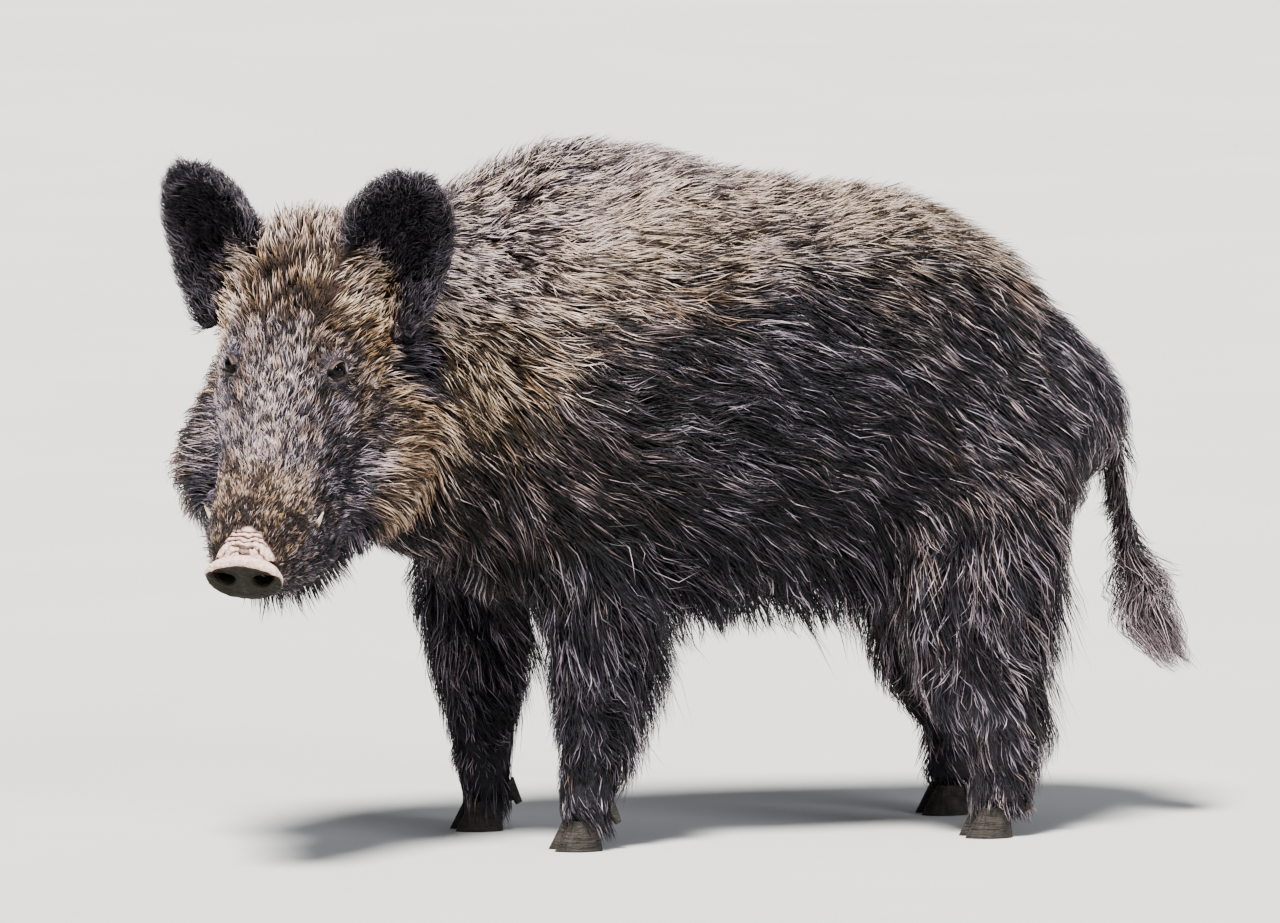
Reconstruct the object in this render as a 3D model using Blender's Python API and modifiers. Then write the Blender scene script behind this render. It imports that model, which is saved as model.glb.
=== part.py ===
"""A male wild boar at life size, standing square with its head turned to its left.

The head end points along -X, the animal's left side along -Y, and the soles of the
hooves rest at z = 0. Every solid is the outer form of the coat, out to the tips of
the hair. The flesh is lofted in overlapping masses, fused into one skin and then
parted into head, neck, trunk and legs by thin cuts.
"""

import math
from collections import namedtuple

import bmesh
import bpy
import numpy as np
from mathutils import Matrix, Vector

# ---------------------------------------------------------------- driving dimensions
CUT = 0.0004  # width of the parting cuts, and the gap between neighbours
FLESH_VOXEL = 0.0075  # grain at which the lofted masses fuse
FLESH_SMOOTHING = 9  # passes that round the joins between the masses
FLESH_FACES = 3850  # triangles kept for the fused flesh
RING = 28  # points round each lofted section
STEPS = 5  # lofted sections between two stated ones

HEAD_TURN = math.radians(60)  # heading, from straight ahead towards the left
HEAD_PITCH = math.radians(47)  # muzzle below the horizontal
HEAD_ROLL = math.radians(2.5)  # left eye lower than the right
HEAD_BASE = Vector((-0.548, -0.0415, 0.676))  # where the skull joins the neck
NAPE_TURN = math.radians(38)  # heading of the cut between head and neck
SHOULDER_TILT = math.radians(22)  # lean of the cut between neck and trunk
HEAD_LENGTH = 0.452  # skull base to the face of the snout disc

EYE_RADIUS = 0.0115
EYE_AT = Vector((0.170, 0.0605, 0.037))  # the left eye, in the head's own frame
EAR_LENGTH = 0.208
EAR_HALF_WIDTH = 0.062
EAR_THICKNESS = 0.015
EAR_AT = Vector((0.101, 0.098, -0.003))  # root of the left ear, in the head's frame
EAR_ALONG = Vector((-0.565, 0.165, 0.807))  # from the root to the tip, in that frame
EAR_FACING = Vector((0.784, 0.394, 0.480))  # the way its hollow opens, in that frame
EAR_WIDEST = 0.58  # share of the length at which the ear is widest
EAR_ROOT_WIDTH = 0.44  # width at the root, as a share of the widest
EAR_ROOT_CUP = 88  # degrees that each edge is curled forward at the root
EAR_TIP_CUP = 40  # and at the tip
EAR_BOW = 0.018  # how far the middle of the ear bows backwards
SNOUT_THICKNESS = 0.017
SNOUT_HALF_WIDTH = 0.045
SNOUT_HALF_HEIGHT = 0.033
SNOUT_TILT = math.radians(-5)  # turn of the disc's face towards the crown, if below 0
NOSTRIL_OFFSET = 0.0205
NOSTRIL = Vector((0.009, 0.0105, 0.0085))  # half depth, half width and half height
TUSK_AT = Vector((0.350, 0.050, -0.044))  # root of the left tusk, in the head's frame
TUSK_LEAN = Vector((-0.012, 0.020, 0.034))  # from its root to its tip
TUSK_RADIUS = 0.0052

LEG_END = 0.036  # height at which hair ends and the hooves begin
HOOF_LENGTH = 0.057
HOOF_WIDTH = 0.028
HOOF_AHEAD = 0.010  # the hoof's middle, ahead of the leg's
HOOF_SPLIT = 0.0024  # gap between a foot's two hooves
HOOF_SPLAY = math.radians(4)
HOOF_SLOPE = 0.018  # how far the toe leans back from sole to hair
DEWCLAW_AT = Vector((0.031, 0.015, 0.045))  # behind, beside and above the leg's end
DEWCLAW_LENGTH = 0.030
DEWCLAW_RADII = (0.0085, 0.0042)
DEWCLAW_LEAN = math.radians(28)

# A section of a loft: its centre, then its reach to either side, to the front or
# top of the section, and to its back or bottom.
Section = namedtuple("Section", "x y z side front back")

# Rump to skull along the spine: front is towards the back line, back the belly.
BARREL = (
    Section(0.434, 0, 0.472, 0.048, 0.038, 0.040),
    Section(0.404, 0, 0.478, 0.094, 0.064, 0.078),
    Section(0.362, 0, 0.488, 0.124, 0.100, 0.118),
    Section(0.310, 0, 0.498, 0.144, 0.140, 0.142),
    Section(0.245, 0, 0.508, 0.156, 0.195, 0.160),
    Section(0.160, 0, 0.510, 0.167, 0.244, 0.196),
    Section(0.060, 0, 0.505, 0.174, 0.262, 0.232),
    Section(-0.050, 0, 0.500, 0.177, 0.286, 0.246),
    Section(-0.150, 0, 0.502, 0.174, 0.310, 0.240),
    Section(-0.240, 0, 0.512, 0.163, 0.308, 0.236),
    Section(-0.320, 0, 0.532, 0.146, 0.307, 0.232),
    Section(-0.400, -0.004, 0.562, 0.126, 0.280, 0.214),
    Section(-0.470, -0.018, 0.600, 0.104, 0.206, 0.180),
    Section(-0.530, -0.030, 0.636, 0.102, 0.124, 0.146),
    Section(-0.585, -0.046, 0.654, 0.082, 0.088, 0.100),
)

# Skull base to muzzle in the head's own frame: x forward, y to its left, z up.
HEAD = (
    Section(-0.060, 0, -0.030, 0.078, 0.100, 0.110),
    Section(-0.020, 0, -0.034, 0.096, 0.134, 0.136),
    Section(0.035, 0, -0.040, 0.105, 0.150, 0.140),
    Section(0.095, 0, -0.042, 0.104, 0.140, 0.128),
    Section(0.150, 0, -0.040, 0.098, 0.124, 0.110),
    Section(0.195, 0, -0.035, 0.088, 0.108, 0.096),
    Section(0.250, 0, -0.028, 0.076, 0.088, 0.080),
    Section(0.310, 0, -0.018, 0.066, 0.068, 0.070),
    Section(0.365, 0, -0.010, 0.058, 0.054, 0.056),
    Section(0.405, 0, -0.004, 0.051, 0.045, 0.044),
    Section(0.434, 0, 0.000, 0.043, 0.036, 0.034),
)

# Cheek ruff, spread to both sides behind the mouth, in the head's own frame.
RUFF = (
    Section(-0.070, 0, -0.085, 0.034, 0.030, 0.045),
    Section(-0.040, 0, -0.090, 0.066, 0.050, 0.066),
    Section(0.000, 0, -0.096, 0.098, 0.064, 0.080),
    Section(0.060, 0, -0.102, 0.126, 0.070, 0.080),
    Section(0.130, 0, -0.106, 0.144, 0.070, 0.074),
    Section(0.185, 0, -0.107, 0.155, 0.064, 0.068),
    Section(0.228, 0, -0.105, 0.154, 0.054, 0.066),
    Section(0.264, 0, -0.102, 0.136, 0.042, 0.064),
    Section(0.294, 0, -0.098, 0.100, 0.026, 0.052),
)

# Lower jaw and lips, under the muzzle, in the head's own frame.
JAW = (
    Section(0.120, 0, -0.108, 0.080, 0.050, 0.078),
    Section(0.200, 0, -0.092, 0.088, 0.048, 0.078),
    Section(0.270, 0, -0.080, 0.092, 0.044, 0.082),
    Section(0.330, 0, -0.068, 0.082, 0.040, 0.072),
    Section(0.375, 0, -0.056, 0.067, 0.030, 0.058),
    Section(0.402, 0, -0.048, 0.050, 0.020, 0.042),
    Section(0.418, 0, -0.048, 0.028, 0.008, 0.022),
)

# Legs from the shoulder or hip down: front is towards the head. The left legs are
# stated, and a right leg takes the left one's sizes on its own line.
FORE_LEFT = (
    Section(-0.225, -0.062, 0.620, 0.045, 0.055, 0.060),
    Section(-0.262, -0.097, 0.500, 0.078, 0.104, 0.106),
    Section(-0.262, -0.107, 0.400, 0.071, 0.088, 0.104),
    Section(-0.252, -0.110, 0.320, 0.060, 0.070, 0.096),
    Section(-0.246, -0.110, 0.250, 0.050, 0.056, 0.086),
    Section(-0.245, -0.109, 0.160, 0.041, 0.042, 0.060),
    Section(-0.244, -0.107, 0.090, 0.035, 0.034, 0.040),
    Section(-0.246, -0.106, 0.045, 0.035, 0.031, 0.031),
    Section(-0.248, -0.106, 0.006, 0.035, 0.032, 0.029),
)
FORE_RIGHT_LINE = (-0.045, -0.055, -0.062, -0.078, -0.094, -0.080, -0.072, -0.068, -0.064)
HIND_LEFT = (
    Section(0.235, -0.058, 0.600, 0.044, 0.070, 0.066),
    Section(0.247, -0.093, 0.500, 0.076, 0.118, 0.122),
    Section(0.234, -0.103, 0.420, 0.075, 0.121, 0.130),
    Section(0.219, -0.108, 0.340, 0.067, 0.106, 0.120),
    Section(0.216, -0.110, 0.270, 0.058, 0.090, 0.102),
    Section(0.226, -0.110, 0.200, 0.048, 0.078, 0.086),
    Section(0.240, -0.110, 0.155, 0.043, 0.066, 0.074),
    Section(0.254, -0.110, 0.105, 0.038, 0.046, 0.048),
    Section(0.253, -0.110, 0.060, 0.035, 0.038, 0.038),
    Section(0.246, -0.110, 0.006, 0.035, 0.034, 0.030),
)
HIND_RIGHT_LINE = (0.0, 0.0, 0.002, 0.004, 0.006, 0.008, 0.010, 0.010, 0.010, 0.010)

# Tail from its root to the end of its tassel: front is towards the legs.
TAIL = (
    Section(0.392, 0, 0.500, 0.016, 0.016, 0.016),
    Section(0.420, 0, 0.452, 0.015, 0.015, 0.015),
    Section(0.430, 0, 0.400, 0.011, 0.011, 0.011),
    Section(0.437, 0, 0.350, 0.011, 0.011, 0.012),
    Section(0.444, 0, 0.308, 0.016, 0.019, 0.020),
    Section(0.454, 0, 0.272, 0.020, 0.030, 0.031),
    Section(0.466, 0, 0.240, 0.020, 0.033, 0.033),
    Section(0.480, 0, 0.208, 0.016, 0.022, 0.026),
    Section(0.498, 0, 0.180, 0.009, 0.012, 0.012),
    Section(0.522, 0, 0.150, 0.003, 0.003, 0.003),
)


# --------------------------------------------------------------------------- helpers
def clear_scene():
    for obj in list(bpy.data.objects):
        bpy.data.objects.remove(obj)


def collection(name, shown=True):
    made = bpy.data.collections.new(name)
    bpy.context.scene.collection.children.link(made)
    made.hide_render = not shown
    return made


def object_of(name, mesh, where):
    obj = bpy.data.objects.new(name, mesh)
    where.objects.link(obj)
    return obj


def mesh_from(name, bm):
    bmesh.ops.recalc_face_normals(bm, faces=bm.faces)
    mesh = bpy.data.meshes.new(name)
    bm.to_mesh(mesh)
    bm.free()
    return mesh


def baked(obj, name=None):
    """Applies an object's modifiers: the mesh that the viewport shows becomes its own."""
    bpy.context.view_layer.update()
    graph = bpy.context.evaluated_depsgraph_get()
    mesh = bpy.data.meshes.new_from_object(obj.evaluated_get(graph))
    obj.modifiers.clear()
    obj.data = mesh
    if name:
        obj.name = name
    return obj


def between(rows, steps):
    """The rows with more between them, on a Catmull-Rom curve through them all."""
    rows = np.array(rows, float)
    padded = np.vstack([2 * rows[0] - rows[1], rows, 2 * rows[-1] - rows[-2]])
    found = []
    for i in range(1, len(padded) - 2):
        before, start, end, after = padded[i - 1 : i + 3]
        for k in range(steps):
            t = k / steps
            found.append(
                start
                + 0.5 * t * (end - before)
                + t * t * (before - 2.5 * start + 2 * end - 0.5 * after)
                + t * t * t * (1.5 * start - 1.5 * end + 0.5 * after - 0.5 * before)
            )
    return np.array([*found, rows[-1]])


def loft(sections, front, peak=2.0, full=2.2, pear=0.0, steps=STEPS, ring=RING):
    """A closed skin through the sections. Front is the direction of a section's front
    reach. Peak and full are the superellipse powers of its front and back halves, and
    pear narrows the front half and widens the back one by that share."""
    rows = between(sections, steps)
    centres, reaches = rows[:, :3], np.maximum(rows[:, 3:], 0.001)
    along = np.gradient(centres, axis=0)
    bm = bmesh.new()
    rings = []
    for centre, tangent, (side, ahead, behind) in zip(centres, along, reaches):
        tangent = Vector(tangent).normalized()
        across = tangent.cross(front).normalized()
        up = across.cross(tangent).normalized()
        verts = []
        for i in range(ring):
            angle = 2 * math.pi * i / ring
            c, s = math.cos(angle), math.sin(angle)
            power = 2 / (peak if s > 0 else full)
            rise = math.copysign(abs(s) ** power, s)
            spread = math.copysign(abs(c) ** power, c) * side * (1 - pear * rise)
            reach = rise * (ahead if s > 0 else behind)
            verts.append(bm.verts.new(Vector(centre) + across * spread + up * reach))
        rings.append(verts)
    for low, high in zip(rings, rings[1:]):
        for i in range(ring):
            j = (i + 1) % ring
            bm.faces.new((low[i], low[j], high[j], high[i]))
    bm.faces.new(rings[0])
    bm.faces.new(rings[-1])
    return mesh_from("loft", bm)


def head_frame():
    """The matrix from the head's own frame to the model's."""
    forward = Vector((-math.cos(HEAD_TURN), -math.sin(HEAD_TURN), 0))
    left = Vector((math.sin(HEAD_TURN), -math.cos(HEAD_TURN), 0))
    nose = forward * math.cos(HEAD_PITCH) - Vector((0, 0, math.sin(HEAD_PITCH)))
    crown = nose.cross(left)
    turn = Matrix((nose, left, crown)).transposed().to_4x4()
    roll = Matrix.Rotation(-HEAD_ROLL, 4, "X")
    return Matrix.Translation(HEAD_BASE) @ turn @ roll


def cutter(name, mesh, where):
    obj = object_of("cutter_" + name, mesh, where)
    obj.display_type, obj.hide_render = "WIRE", True
    return obj


def grown(obj, where):
    """A cutter: a copy of the object, swollen by a gap's width."""
    copy = cutter("room_" + obj.name, obj.data.copy(), where)
    swell = copy.modifiers.new("swell", "DISPLACE")
    swell.strength, swell.mid_level = CUT, 0
    return baked(copy)


def cut_by(obj, tool, operation="DIFFERENCE"):
    """Takes the tool out of the object, or keeps only what lies inside it."""
    boolean = obj.modifiers.new("cut", "BOOLEAN")
    boolean.operation, boolean.solver, boolean.object = operation, "EXACT", tool


def material(name, colour, roughness):
    made = bpy.data.materials.new(name)
    made.use_nodes = True
    shader = made.node_tree.nodes["Principled BSDF"]
    shader.inputs["Base Color"].default_value = (*colour, 1)
    shader.inputs["Roughness"].default_value = roughness
    return made


# ------------------------------------------------------------------------- the flesh
def right_leg(sections, line):
    """The left leg's sections on the right side, each moved along X by the line."""
    return [s._replace(x=s.x + dx, y=-s.y) for s, dx in zip(sections, line)]


def fused_flesh(where):
    """Head, neck, trunk and legs as one closed skin."""
    ahead, up = Vector((-1, 0, 0)), Vector((0, 0, 1))
    pose = head_frame()
    masses = [loft(BARREL, up, peak=1.85, full=2.2, pear=0.16)]
    for sections in (
        FORE_LEFT,
        right_leg(FORE_LEFT, FORE_RIGHT_LINE),
        HIND_LEFT,
        right_leg(HIND_LEFT, HIND_RIGHT_LINE),
    ):
        masses.append(loft(sections, ahead))
    for mesh in (loft(HEAD, up, peak=2.4, pear=0.14), loft(RUFF, up, full=2.0), loft(JAW, up)):
        mesh.transform(pose)
        masses.append(mesh)
    bm = bmesh.new()
    for mesh in masses:
        bm.from_mesh(mesh)
    flesh = object_of("flesh", mesh_from("flesh", bm), where)
    fuse = flesh.modifiers.new("fuse", "REMESH")
    fuse.mode, fuse.voxel_size = "VOXEL", FLESH_VOXEL
    soften = flesh.modifiers.new("soften", "SMOOTH")
    soften.factor, soften.iterations = 0.5, FLESH_SMOOTHING
    baked(flesh)
    thin = flesh.modifiers.new("thin", "DECIMATE")
    thin.ratio = FLESH_FACES / (2 * len(flesh.data.polygons))
    return baked(flesh)


def block(low, high, matrix, extra=0.0):
    """A box between two corners, placed by the matrix and swollen by the extra."""
    bm = bmesh.new()
    bmesh.ops.create_cube(bm, size=1)
    margin = Vector((extra, extra, extra))
    low, high = Vector(low) - margin, Vector(high) + margin
    size = Matrix.Diagonal((*(high - low), 1))
    place = matrix @ Matrix.Translation((low + high) / 2)
    bmesh.ops.transform(bm, verts=bm.verts, matrix=place @ size)
    return mesh_from("block", bm)


def arch(x, radius, spring, inner, outer, extra=0.0):
    """A doorway prism round a leg, round-topped from the spring height up, running
    across the body from the inner to the outer Y and swollen by the extra."""
    radius += extra
    inner -= math.copysign(extra, outer)
    outline = [(x - radius, -1.0), (x + radius, -1.0)]
    for i in range(13):
        angle = math.pi * i / 12
        outline.append((x + radius * math.cos(angle), spring + radius * math.sin(angle)))
    bm = bmesh.new()
    near = [bm.verts.new((px, inner, pz)) for px, pz in outline]
    face = bm.faces.new(near)
    pushed = bmesh.ops.extrude_face_region(bm, geom=[face])["geom"]
    moved = [v for v in pushed if isinstance(v, bmesh.types.BMVert)]
    bmesh.ops.translate(bm, verts=moved, vec=(0, outer - inner, 0))
    return mesh_from("arch", bm)


def regions():
    """What parts the flesh, in the order of parting: a shape and its sizes for each."""
    before_shoulder = Matrix.Translation((-0.350, 0, 0.56)) @ Matrix.Rotation(SHOULDER_TILT, 4, "Y")
    before_nape = Matrix.Translation(HEAD_BASE) @ Matrix.Rotation(NAPE_TURN, 4, "Z")
    return {
        "leg_fore_left": (arch, (-0.255, 0.102, 0.262, -0.024, -0.35)),
        "leg_fore_right": (arch, (-0.335, 0.100, 0.262, 0.024, 0.35)),
        "leg_hind_left": (arch, (0.222, 0.131, 0.285, -0.021, -0.35)),
        "leg_hind_right": (arch, (0.230, 0.131, 0.285, 0.021, 0.35)),
        "neck": (block, ((-0.70, -0.45, -0.36), (0.0, 0.45, 0.40), before_shoulder)),
        "head": (block, ((-0.60, -0.40, -0.40), (0.045, 0.40, 0.35), before_nape)),
    }


def parted(whole, name, where, cutters):
    """Parts one region's flesh from the whole, with a cut's gap between the two."""
    shape, sizes = regions()[name]
    part = object_of(name, whole.data.copy(), where)
    cut_by(part, cutter(name, shape(*sizes), cutters), "INTERSECT")
    cut_by(whole, cutter(name + "_gap", shape(*sizes, extra=CUT), cutters))
    baked(whole)
    return baked(part)


def parted_flesh(where, cutters):
    """The fused flesh parted into head, neck, trunk and legs, each its own object."""
    trunk = fused_flesh(where)
    floor = block((-2, -2, -1), (2, 2, LEG_END), Matrix.Identity(4))
    cut_by(trunk, cutter("floor", floor, cutters))
    baked(trunk, "trunk")
    found = {"trunk": trunk}
    for name in ("leg_fore_left", "leg_fore_right", "leg_hind_left", "leg_hind_right", "neck"):
        found[name] = parted(trunk, name, where, cutters)
    found["head"] = parted(found["neck"], "head", where, cutters)
    return found


def islands(bm):
    """The loose pieces of a mesh, as sets of vertices."""
    left, pieces = set(bm.verts), []
    while left:
        seed = left.pop()
        piece, edge = {seed}, [seed]
        while edge:
            vert = edge.pop()
            for link in vert.link_edges:
                other = link.other_vert(vert)
                if other in left:
                    left.discard(other)
                    piece.add(other)
                    edge.append(other)
        pieces.append(piece)
    return pieces


# ----------------------------------------------------------------- what grows from it
def ear_rows(across=8, along=9):
    """Points of a cupped leaf in rows from root to tip: x faces the hollow's opening."""
    rows = []
    for i in range(along + 1):
        t = min(i / along, 0.985)
        if t < EAR_WIDEST:
            swell = math.sin(0.5 * math.pi * (t / EAR_WIDEST) ** 0.8)
            width = EAR_ROOT_WIDTH + (1 - EAR_ROOT_WIDTH) * swell
        else:
            width = math.sqrt(1 - ((t - EAR_WIDEST) / (1 - EAR_WIDEST)) ** 2)
        cup = math.radians(EAR_ROOT_CUP + (EAR_TIP_CUP - EAR_ROOT_CUP) * t)
        half = EAR_HALF_WIDTH * width / math.sin(cup)
        bow = EAR_BOW * math.sin(math.pi * t)
        row = []
        for j in range(across + 1):
            angle = cup * (2 * j / across - 1)
            hollow = half * (math.cos(cup) - math.cos(angle))
            row.append((hollow - bow, half * math.sin(angle), EAR_LENGTH * t))
        rows.append(row)
    return rows


def ear(name, side, where):
    """A cupped leaf, facing forwards and outwards. Side is 1 for the left ear."""
    bm = bmesh.new()
    rows = [[bm.verts.new(point) for point in row] for row in ear_rows()]
    for low, high in zip(rows, rows[1:]):
        for j in range(len(low) - 1):
            bm.faces.new((low[j], low[j + 1], high[j + 1], high[j]))
    mesh = bpy.data.meshes.new(name)
    bm.to_mesh(mesh)
    bm.free()
    obj = object_of(name, mesh, where)
    thicken = obj.modifiers.new("thicken", "SOLIDIFY")
    thicken.thickness, thicken.offset, thicken.use_even_offset = EAR_THICKNESS, 0, True
    rounded = obj.modifiers.new("rounded", "BEVEL")
    rounded.width, rounded.segments = EAR_THICKNESS / 4, 1
    baked(obj)
    length = EAR_ALONG.normalized()
    facing = (EAR_FACING - length * EAR_FACING.dot(length)).normalized()
    turn = Matrix((facing, length.cross(facing), length)).transposed().to_4x4()
    mirror = Matrix.Diagonal((1, side, 1, 1))
    obj.data.transform(head_frame() @ mirror @ Matrix.Translation(EAR_AT) @ turn)
    return outward(obj)


def outward(obj):
    """Turns every face of a closed mesh to the outside."""
    bm = bmesh.new()
    bm.from_mesh(obj.data)
    bmesh.ops.recalc_face_normals(bm, faces=bm.faces)
    bm.to_mesh(obj.data)
    bm.free()
    return obj


def ball_mesh(name, centre, radius, segments=16):
    bm = bmesh.new()
    bmesh.ops.create_uvsphere(bm, u_segments=segments, v_segments=segments // 2, radius=radius)
    bmesh.ops.translate(bm, verts=bm.verts, vec=centre)
    return mesh_from(name, bm)


def snout(where, cutters):
    """The bare disc at the end of the muzzle, with its two nostrils."""
    bm = bmesh.new()
    bmesh.ops.create_cone(bm, cap_ends=True, segments=22, radius1=1, radius2=1, depth=1)
    lie = Matrix.Rotation(math.radians(90), 4, "Y")
    size = Matrix.Diagonal((SNOUT_THICKNESS, SNOUT_HALF_WIDTH, SNOUT_HALF_HEIGHT, 1))
    bmesh.ops.transform(bm, verts=bm.verts, matrix=size @ lie)
    place = head_frame() @ Matrix.Translation((HEAD_LENGTH - SNOUT_THICKNESS / 2, 0, 0.001))
    place = place @ Matrix.Rotation(SNOUT_TILT, 4, "Y")
    disc = object_of("snout", mesh_from("snout", bm), where)
    rounded = disc.modifiers.new("rounded", "BEVEL")
    rounded.width, rounded.segments = 0.0035, 2
    baked(disc)
    disc.data.transform(place)
    for side in (1, -1):
        at = Matrix.Translation((SNOUT_THICKNESS / 2, side * NOSTRIL_OFFSET, 0.002))
        hole = ball_mesh("nostril", (0, 0, 0), 1, segments=12)
        hole.transform(place @ at @ Matrix.Diagonal((*NOSTRIL, 1)))
        cut_by(disc, cutter("nostril", hole, cutters))
        baked(disc)
    return disc


def tusk(name, side, where):
    """A lower canine, curving up and out of the lip."""
    rows = []
    for i in range(5):
        t = i / 4
        x = TUSK_AT.x + TUSK_LEAN.x * t * t
        y = side * (TUSK_AT.y + TUSK_LEAN.y * t)
        z = TUSK_AT.z + TUSK_LEAN.z * t
        rows.append(Section(x, y, z, *[TUSK_RADIUS * (1 - 0.86 * t * t)] * 3))
    mesh = loft(rows, Vector((1, 0, 0)), full=2.0, steps=2, ring=10)
    mesh.transform(head_frame())
    return outward(object_of(name, mesh, where))


def tail(where):
    mesh = loft(TAIL, Vector((-1, 0, 0)), full=2.0, steps=2, ring=12)
    return object_of("tail", mesh, where)


def hoof(name, x, y, side, where):
    """One of a foot's two main hooves, with its flat sole on the floor. Side is the
    side of the foot that it is on."""
    height = LEG_END - CUT
    bm = bmesh.new()
    bmesh.ops.create_cone(bm, cap_ends=True, segments=18, radius1=1, radius2=0.84, depth=1)
    bmesh.ops.scale(bm, verts=bm.verts, vec=(HOOF_LENGTH / 2, HOOF_WIDTH / 2, height))
    for vert in bm.verts:
        rise = vert.co.z / height + 0.5
        toe = max(0.0, -vert.co.x / (HOOF_LENGTH / 2))
        vert.co.y *= 1 - 0.45 * toe * toe
        vert.co.x += HOOF_SLOPE * rise * toe
        vert.co.z = height * rise
    aside = side * (HOOF_WIDTH + HOOF_SPLIT) / 2
    place = Matrix.Translation((x - HOOF_AHEAD, y + aside, 0))
    splay = Matrix.Rotation(side * HOOF_SPLAY, 4, "Z")
    bmesh.ops.transform(bm, verts=bm.verts, matrix=place @ splay)
    return object_of(name, mesh_from(name, bm), where)


def dewclaw(name, x, y, side, where):
    """A small hoof behind the foot, clear of the floor."""
    bm = bmesh.new()
    root, tip = DEWCLAW_RADII
    bmesh.ops.create_cone(
        bm, cap_ends=True, segments=12, radius1=root, radius2=tip, depth=DEWCLAW_LENGTH
    )
    lean = Matrix.Rotation(math.pi - DEWCLAW_LEAN, 4, "Y")
    place = Matrix.Translation((x + DEWCLAW_AT.x, y + side * DEWCLAW_AT.y, DEWCLAW_AT.z))
    bmesh.ops.transform(bm, verts=bm.verts, matrix=place @ lean)
    return object_of(name, mesh_from(name, bm), where)


def feet(where):
    """Two hooves and two dewclaws under each leg."""
    made = []
    lines = {
        "fore_left": FORE_LEFT[-1],
        "fore_right": right_leg(FORE_LEFT, FORE_RIGHT_LINE)[-1],
        "hind_left": HIND_LEFT[-1],
        "hind_right": right_leg(HIND_LEFT, HIND_RIGHT_LINE)[-1],
    }
    for leg, end in lines.items():
        for toe, side in (("a", -1), ("b", 1)):
            made.append((leg, hoof(f"hoof_{leg}_{toe}", end.x, end.y, side, where)))
            made.append((leg, dewclaw(f"dewclaw_{leg}_{toe}", end.x, end.y, side, where)))
    return made


# ------------------------------------------------------------------------- the animal
def build():
    clear_scene()
    boar = collection("wild_boar")
    cutters = collection("cutters", shown=False)
    flesh = parted_flesh(boar, cutters)
    pose = head_frame()

    eyes = []
    for name, side in (("eye_left", 1), ("eye_right", -1)):
        centre = pose @ Vector((EYE_AT.x, side * EYE_AT.y, EYE_AT.z))
        eyes.append(object_of(name, ball_mesh(name, centre, EYE_RADIUS), boar))
        socket = ball_mesh("socket", centre, EYE_RADIUS + CUT)
        cut_by(flesh["head"], cutter("socket_" + name, socket, cutters))
        baked(flesh["head"])

    head_room = grown(flesh["head"], cutters)
    neck_room = grown(flesh["neck"], cutters)
    trunk_room = grown(flesh["trunk"], cutters)
    disc = snout(boar, cutters)
    tusks = [tusk("tusk_left", 1, boar), tusk("tusk_right", -1, boar)]
    ears = [ear("ear_left", 1, boar), ear("ear_right", -1, boar)]
    for obj in [disc, *tusks, *ears]:
        cut_by(obj, head_room)
        baked(obj)
    for obj in ears:
        cut_by(obj, neck_room)
        baked(obj)
    brush = tail(boar)
    cut_by(brush, trunk_room)
    baked(brush)
    claws = feet(boar)
    for leg, claw in claws:
        if claw.name.startswith("dewclaw"):
            cut_by(claw, grown(flesh["leg_" + leg], cutters))
            baked(claw)

    dress(flesh, eyes, disc, tusks, ears, brush, [claw for _, claw in claws])
    stand_centred(boar)


def keep_largest(obj):
    """Drops the crumbs that a cut leaves inside its neighbour."""
    bm = bmesh.new()
    bm.from_mesh(obj.data)
    pieces = sorted(islands(bm), key=len)
    for piece in pieces[:-1]:
        bmesh.ops.delete(bm, geom=list(piece), context="VERTS")
    bm.to_mesh(obj.data)
    bm.free()


def dress(flesh, eyes, disc, tusks, ears, brush, claws):
    """Gives each object its material, and shades the round ones smooth."""
    bristle = material("bristle", (0.10, 0.078, 0.058), 0.6)
    dark_fur = material("dark_fur", (0.030, 0.024, 0.024), 0.7)
    bare_skin = material("bare_skin", (0.22, 0.15, 0.13), 0.5)
    eye = material("eye", (0.02, 0.012, 0.008), 0.1)
    ivory = material("ivory", (0.70, 0.62, 0.46), 0.35)
    horn = material("horn", (0.045, 0.038, 0.034), 0.45)
    groups = (
        (list(flesh.values()) + [brush], bristle),
        (ears, dark_fur),
        ([disc], bare_skin),
        (eyes, eye),
        (tusks, ivory),
        (claws, horn),
    )
    for objects, finish in groups:
        for obj in objects:
            keep_largest(obj)
            obj.data.materials.clear()
            obj.data.materials.append(finish)
            obj.data.shade_smooth()
            obj.data.set_sharp_from_angle(angle=math.radians(50))


def stand_centred(boar):
    """Moves the animal so that the middle of its footprint box is the origin."""
    bpy.context.view_layer.update()
    points = np.array([v.co for obj in boar.objects for v in obj.data.vertices])
    shift = -(points.min(axis=0) + points.max(axis=0)) / 2
    shift[2] = -points[:, 2].min()
    for obj in boar.objects:
        obj.data.transform(Matrix.Translation(shift))


build()
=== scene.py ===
"""The looks of a wild boar at life size: its skin, coat, head, eyes and feet.

The head end points along -X, the left side along -Y and the floor is z = 0. One skin
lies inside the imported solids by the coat's depth, and the coat grows from it in tufts
that follow the lie of the hair out to those solids.
"""

import math

import bmesh
import bpy
import numpy as np
from mathutils import Matrix, Vector
from mathutils.bvhtree import BVHTree
from mathutils.kdtree import KDTree


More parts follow.
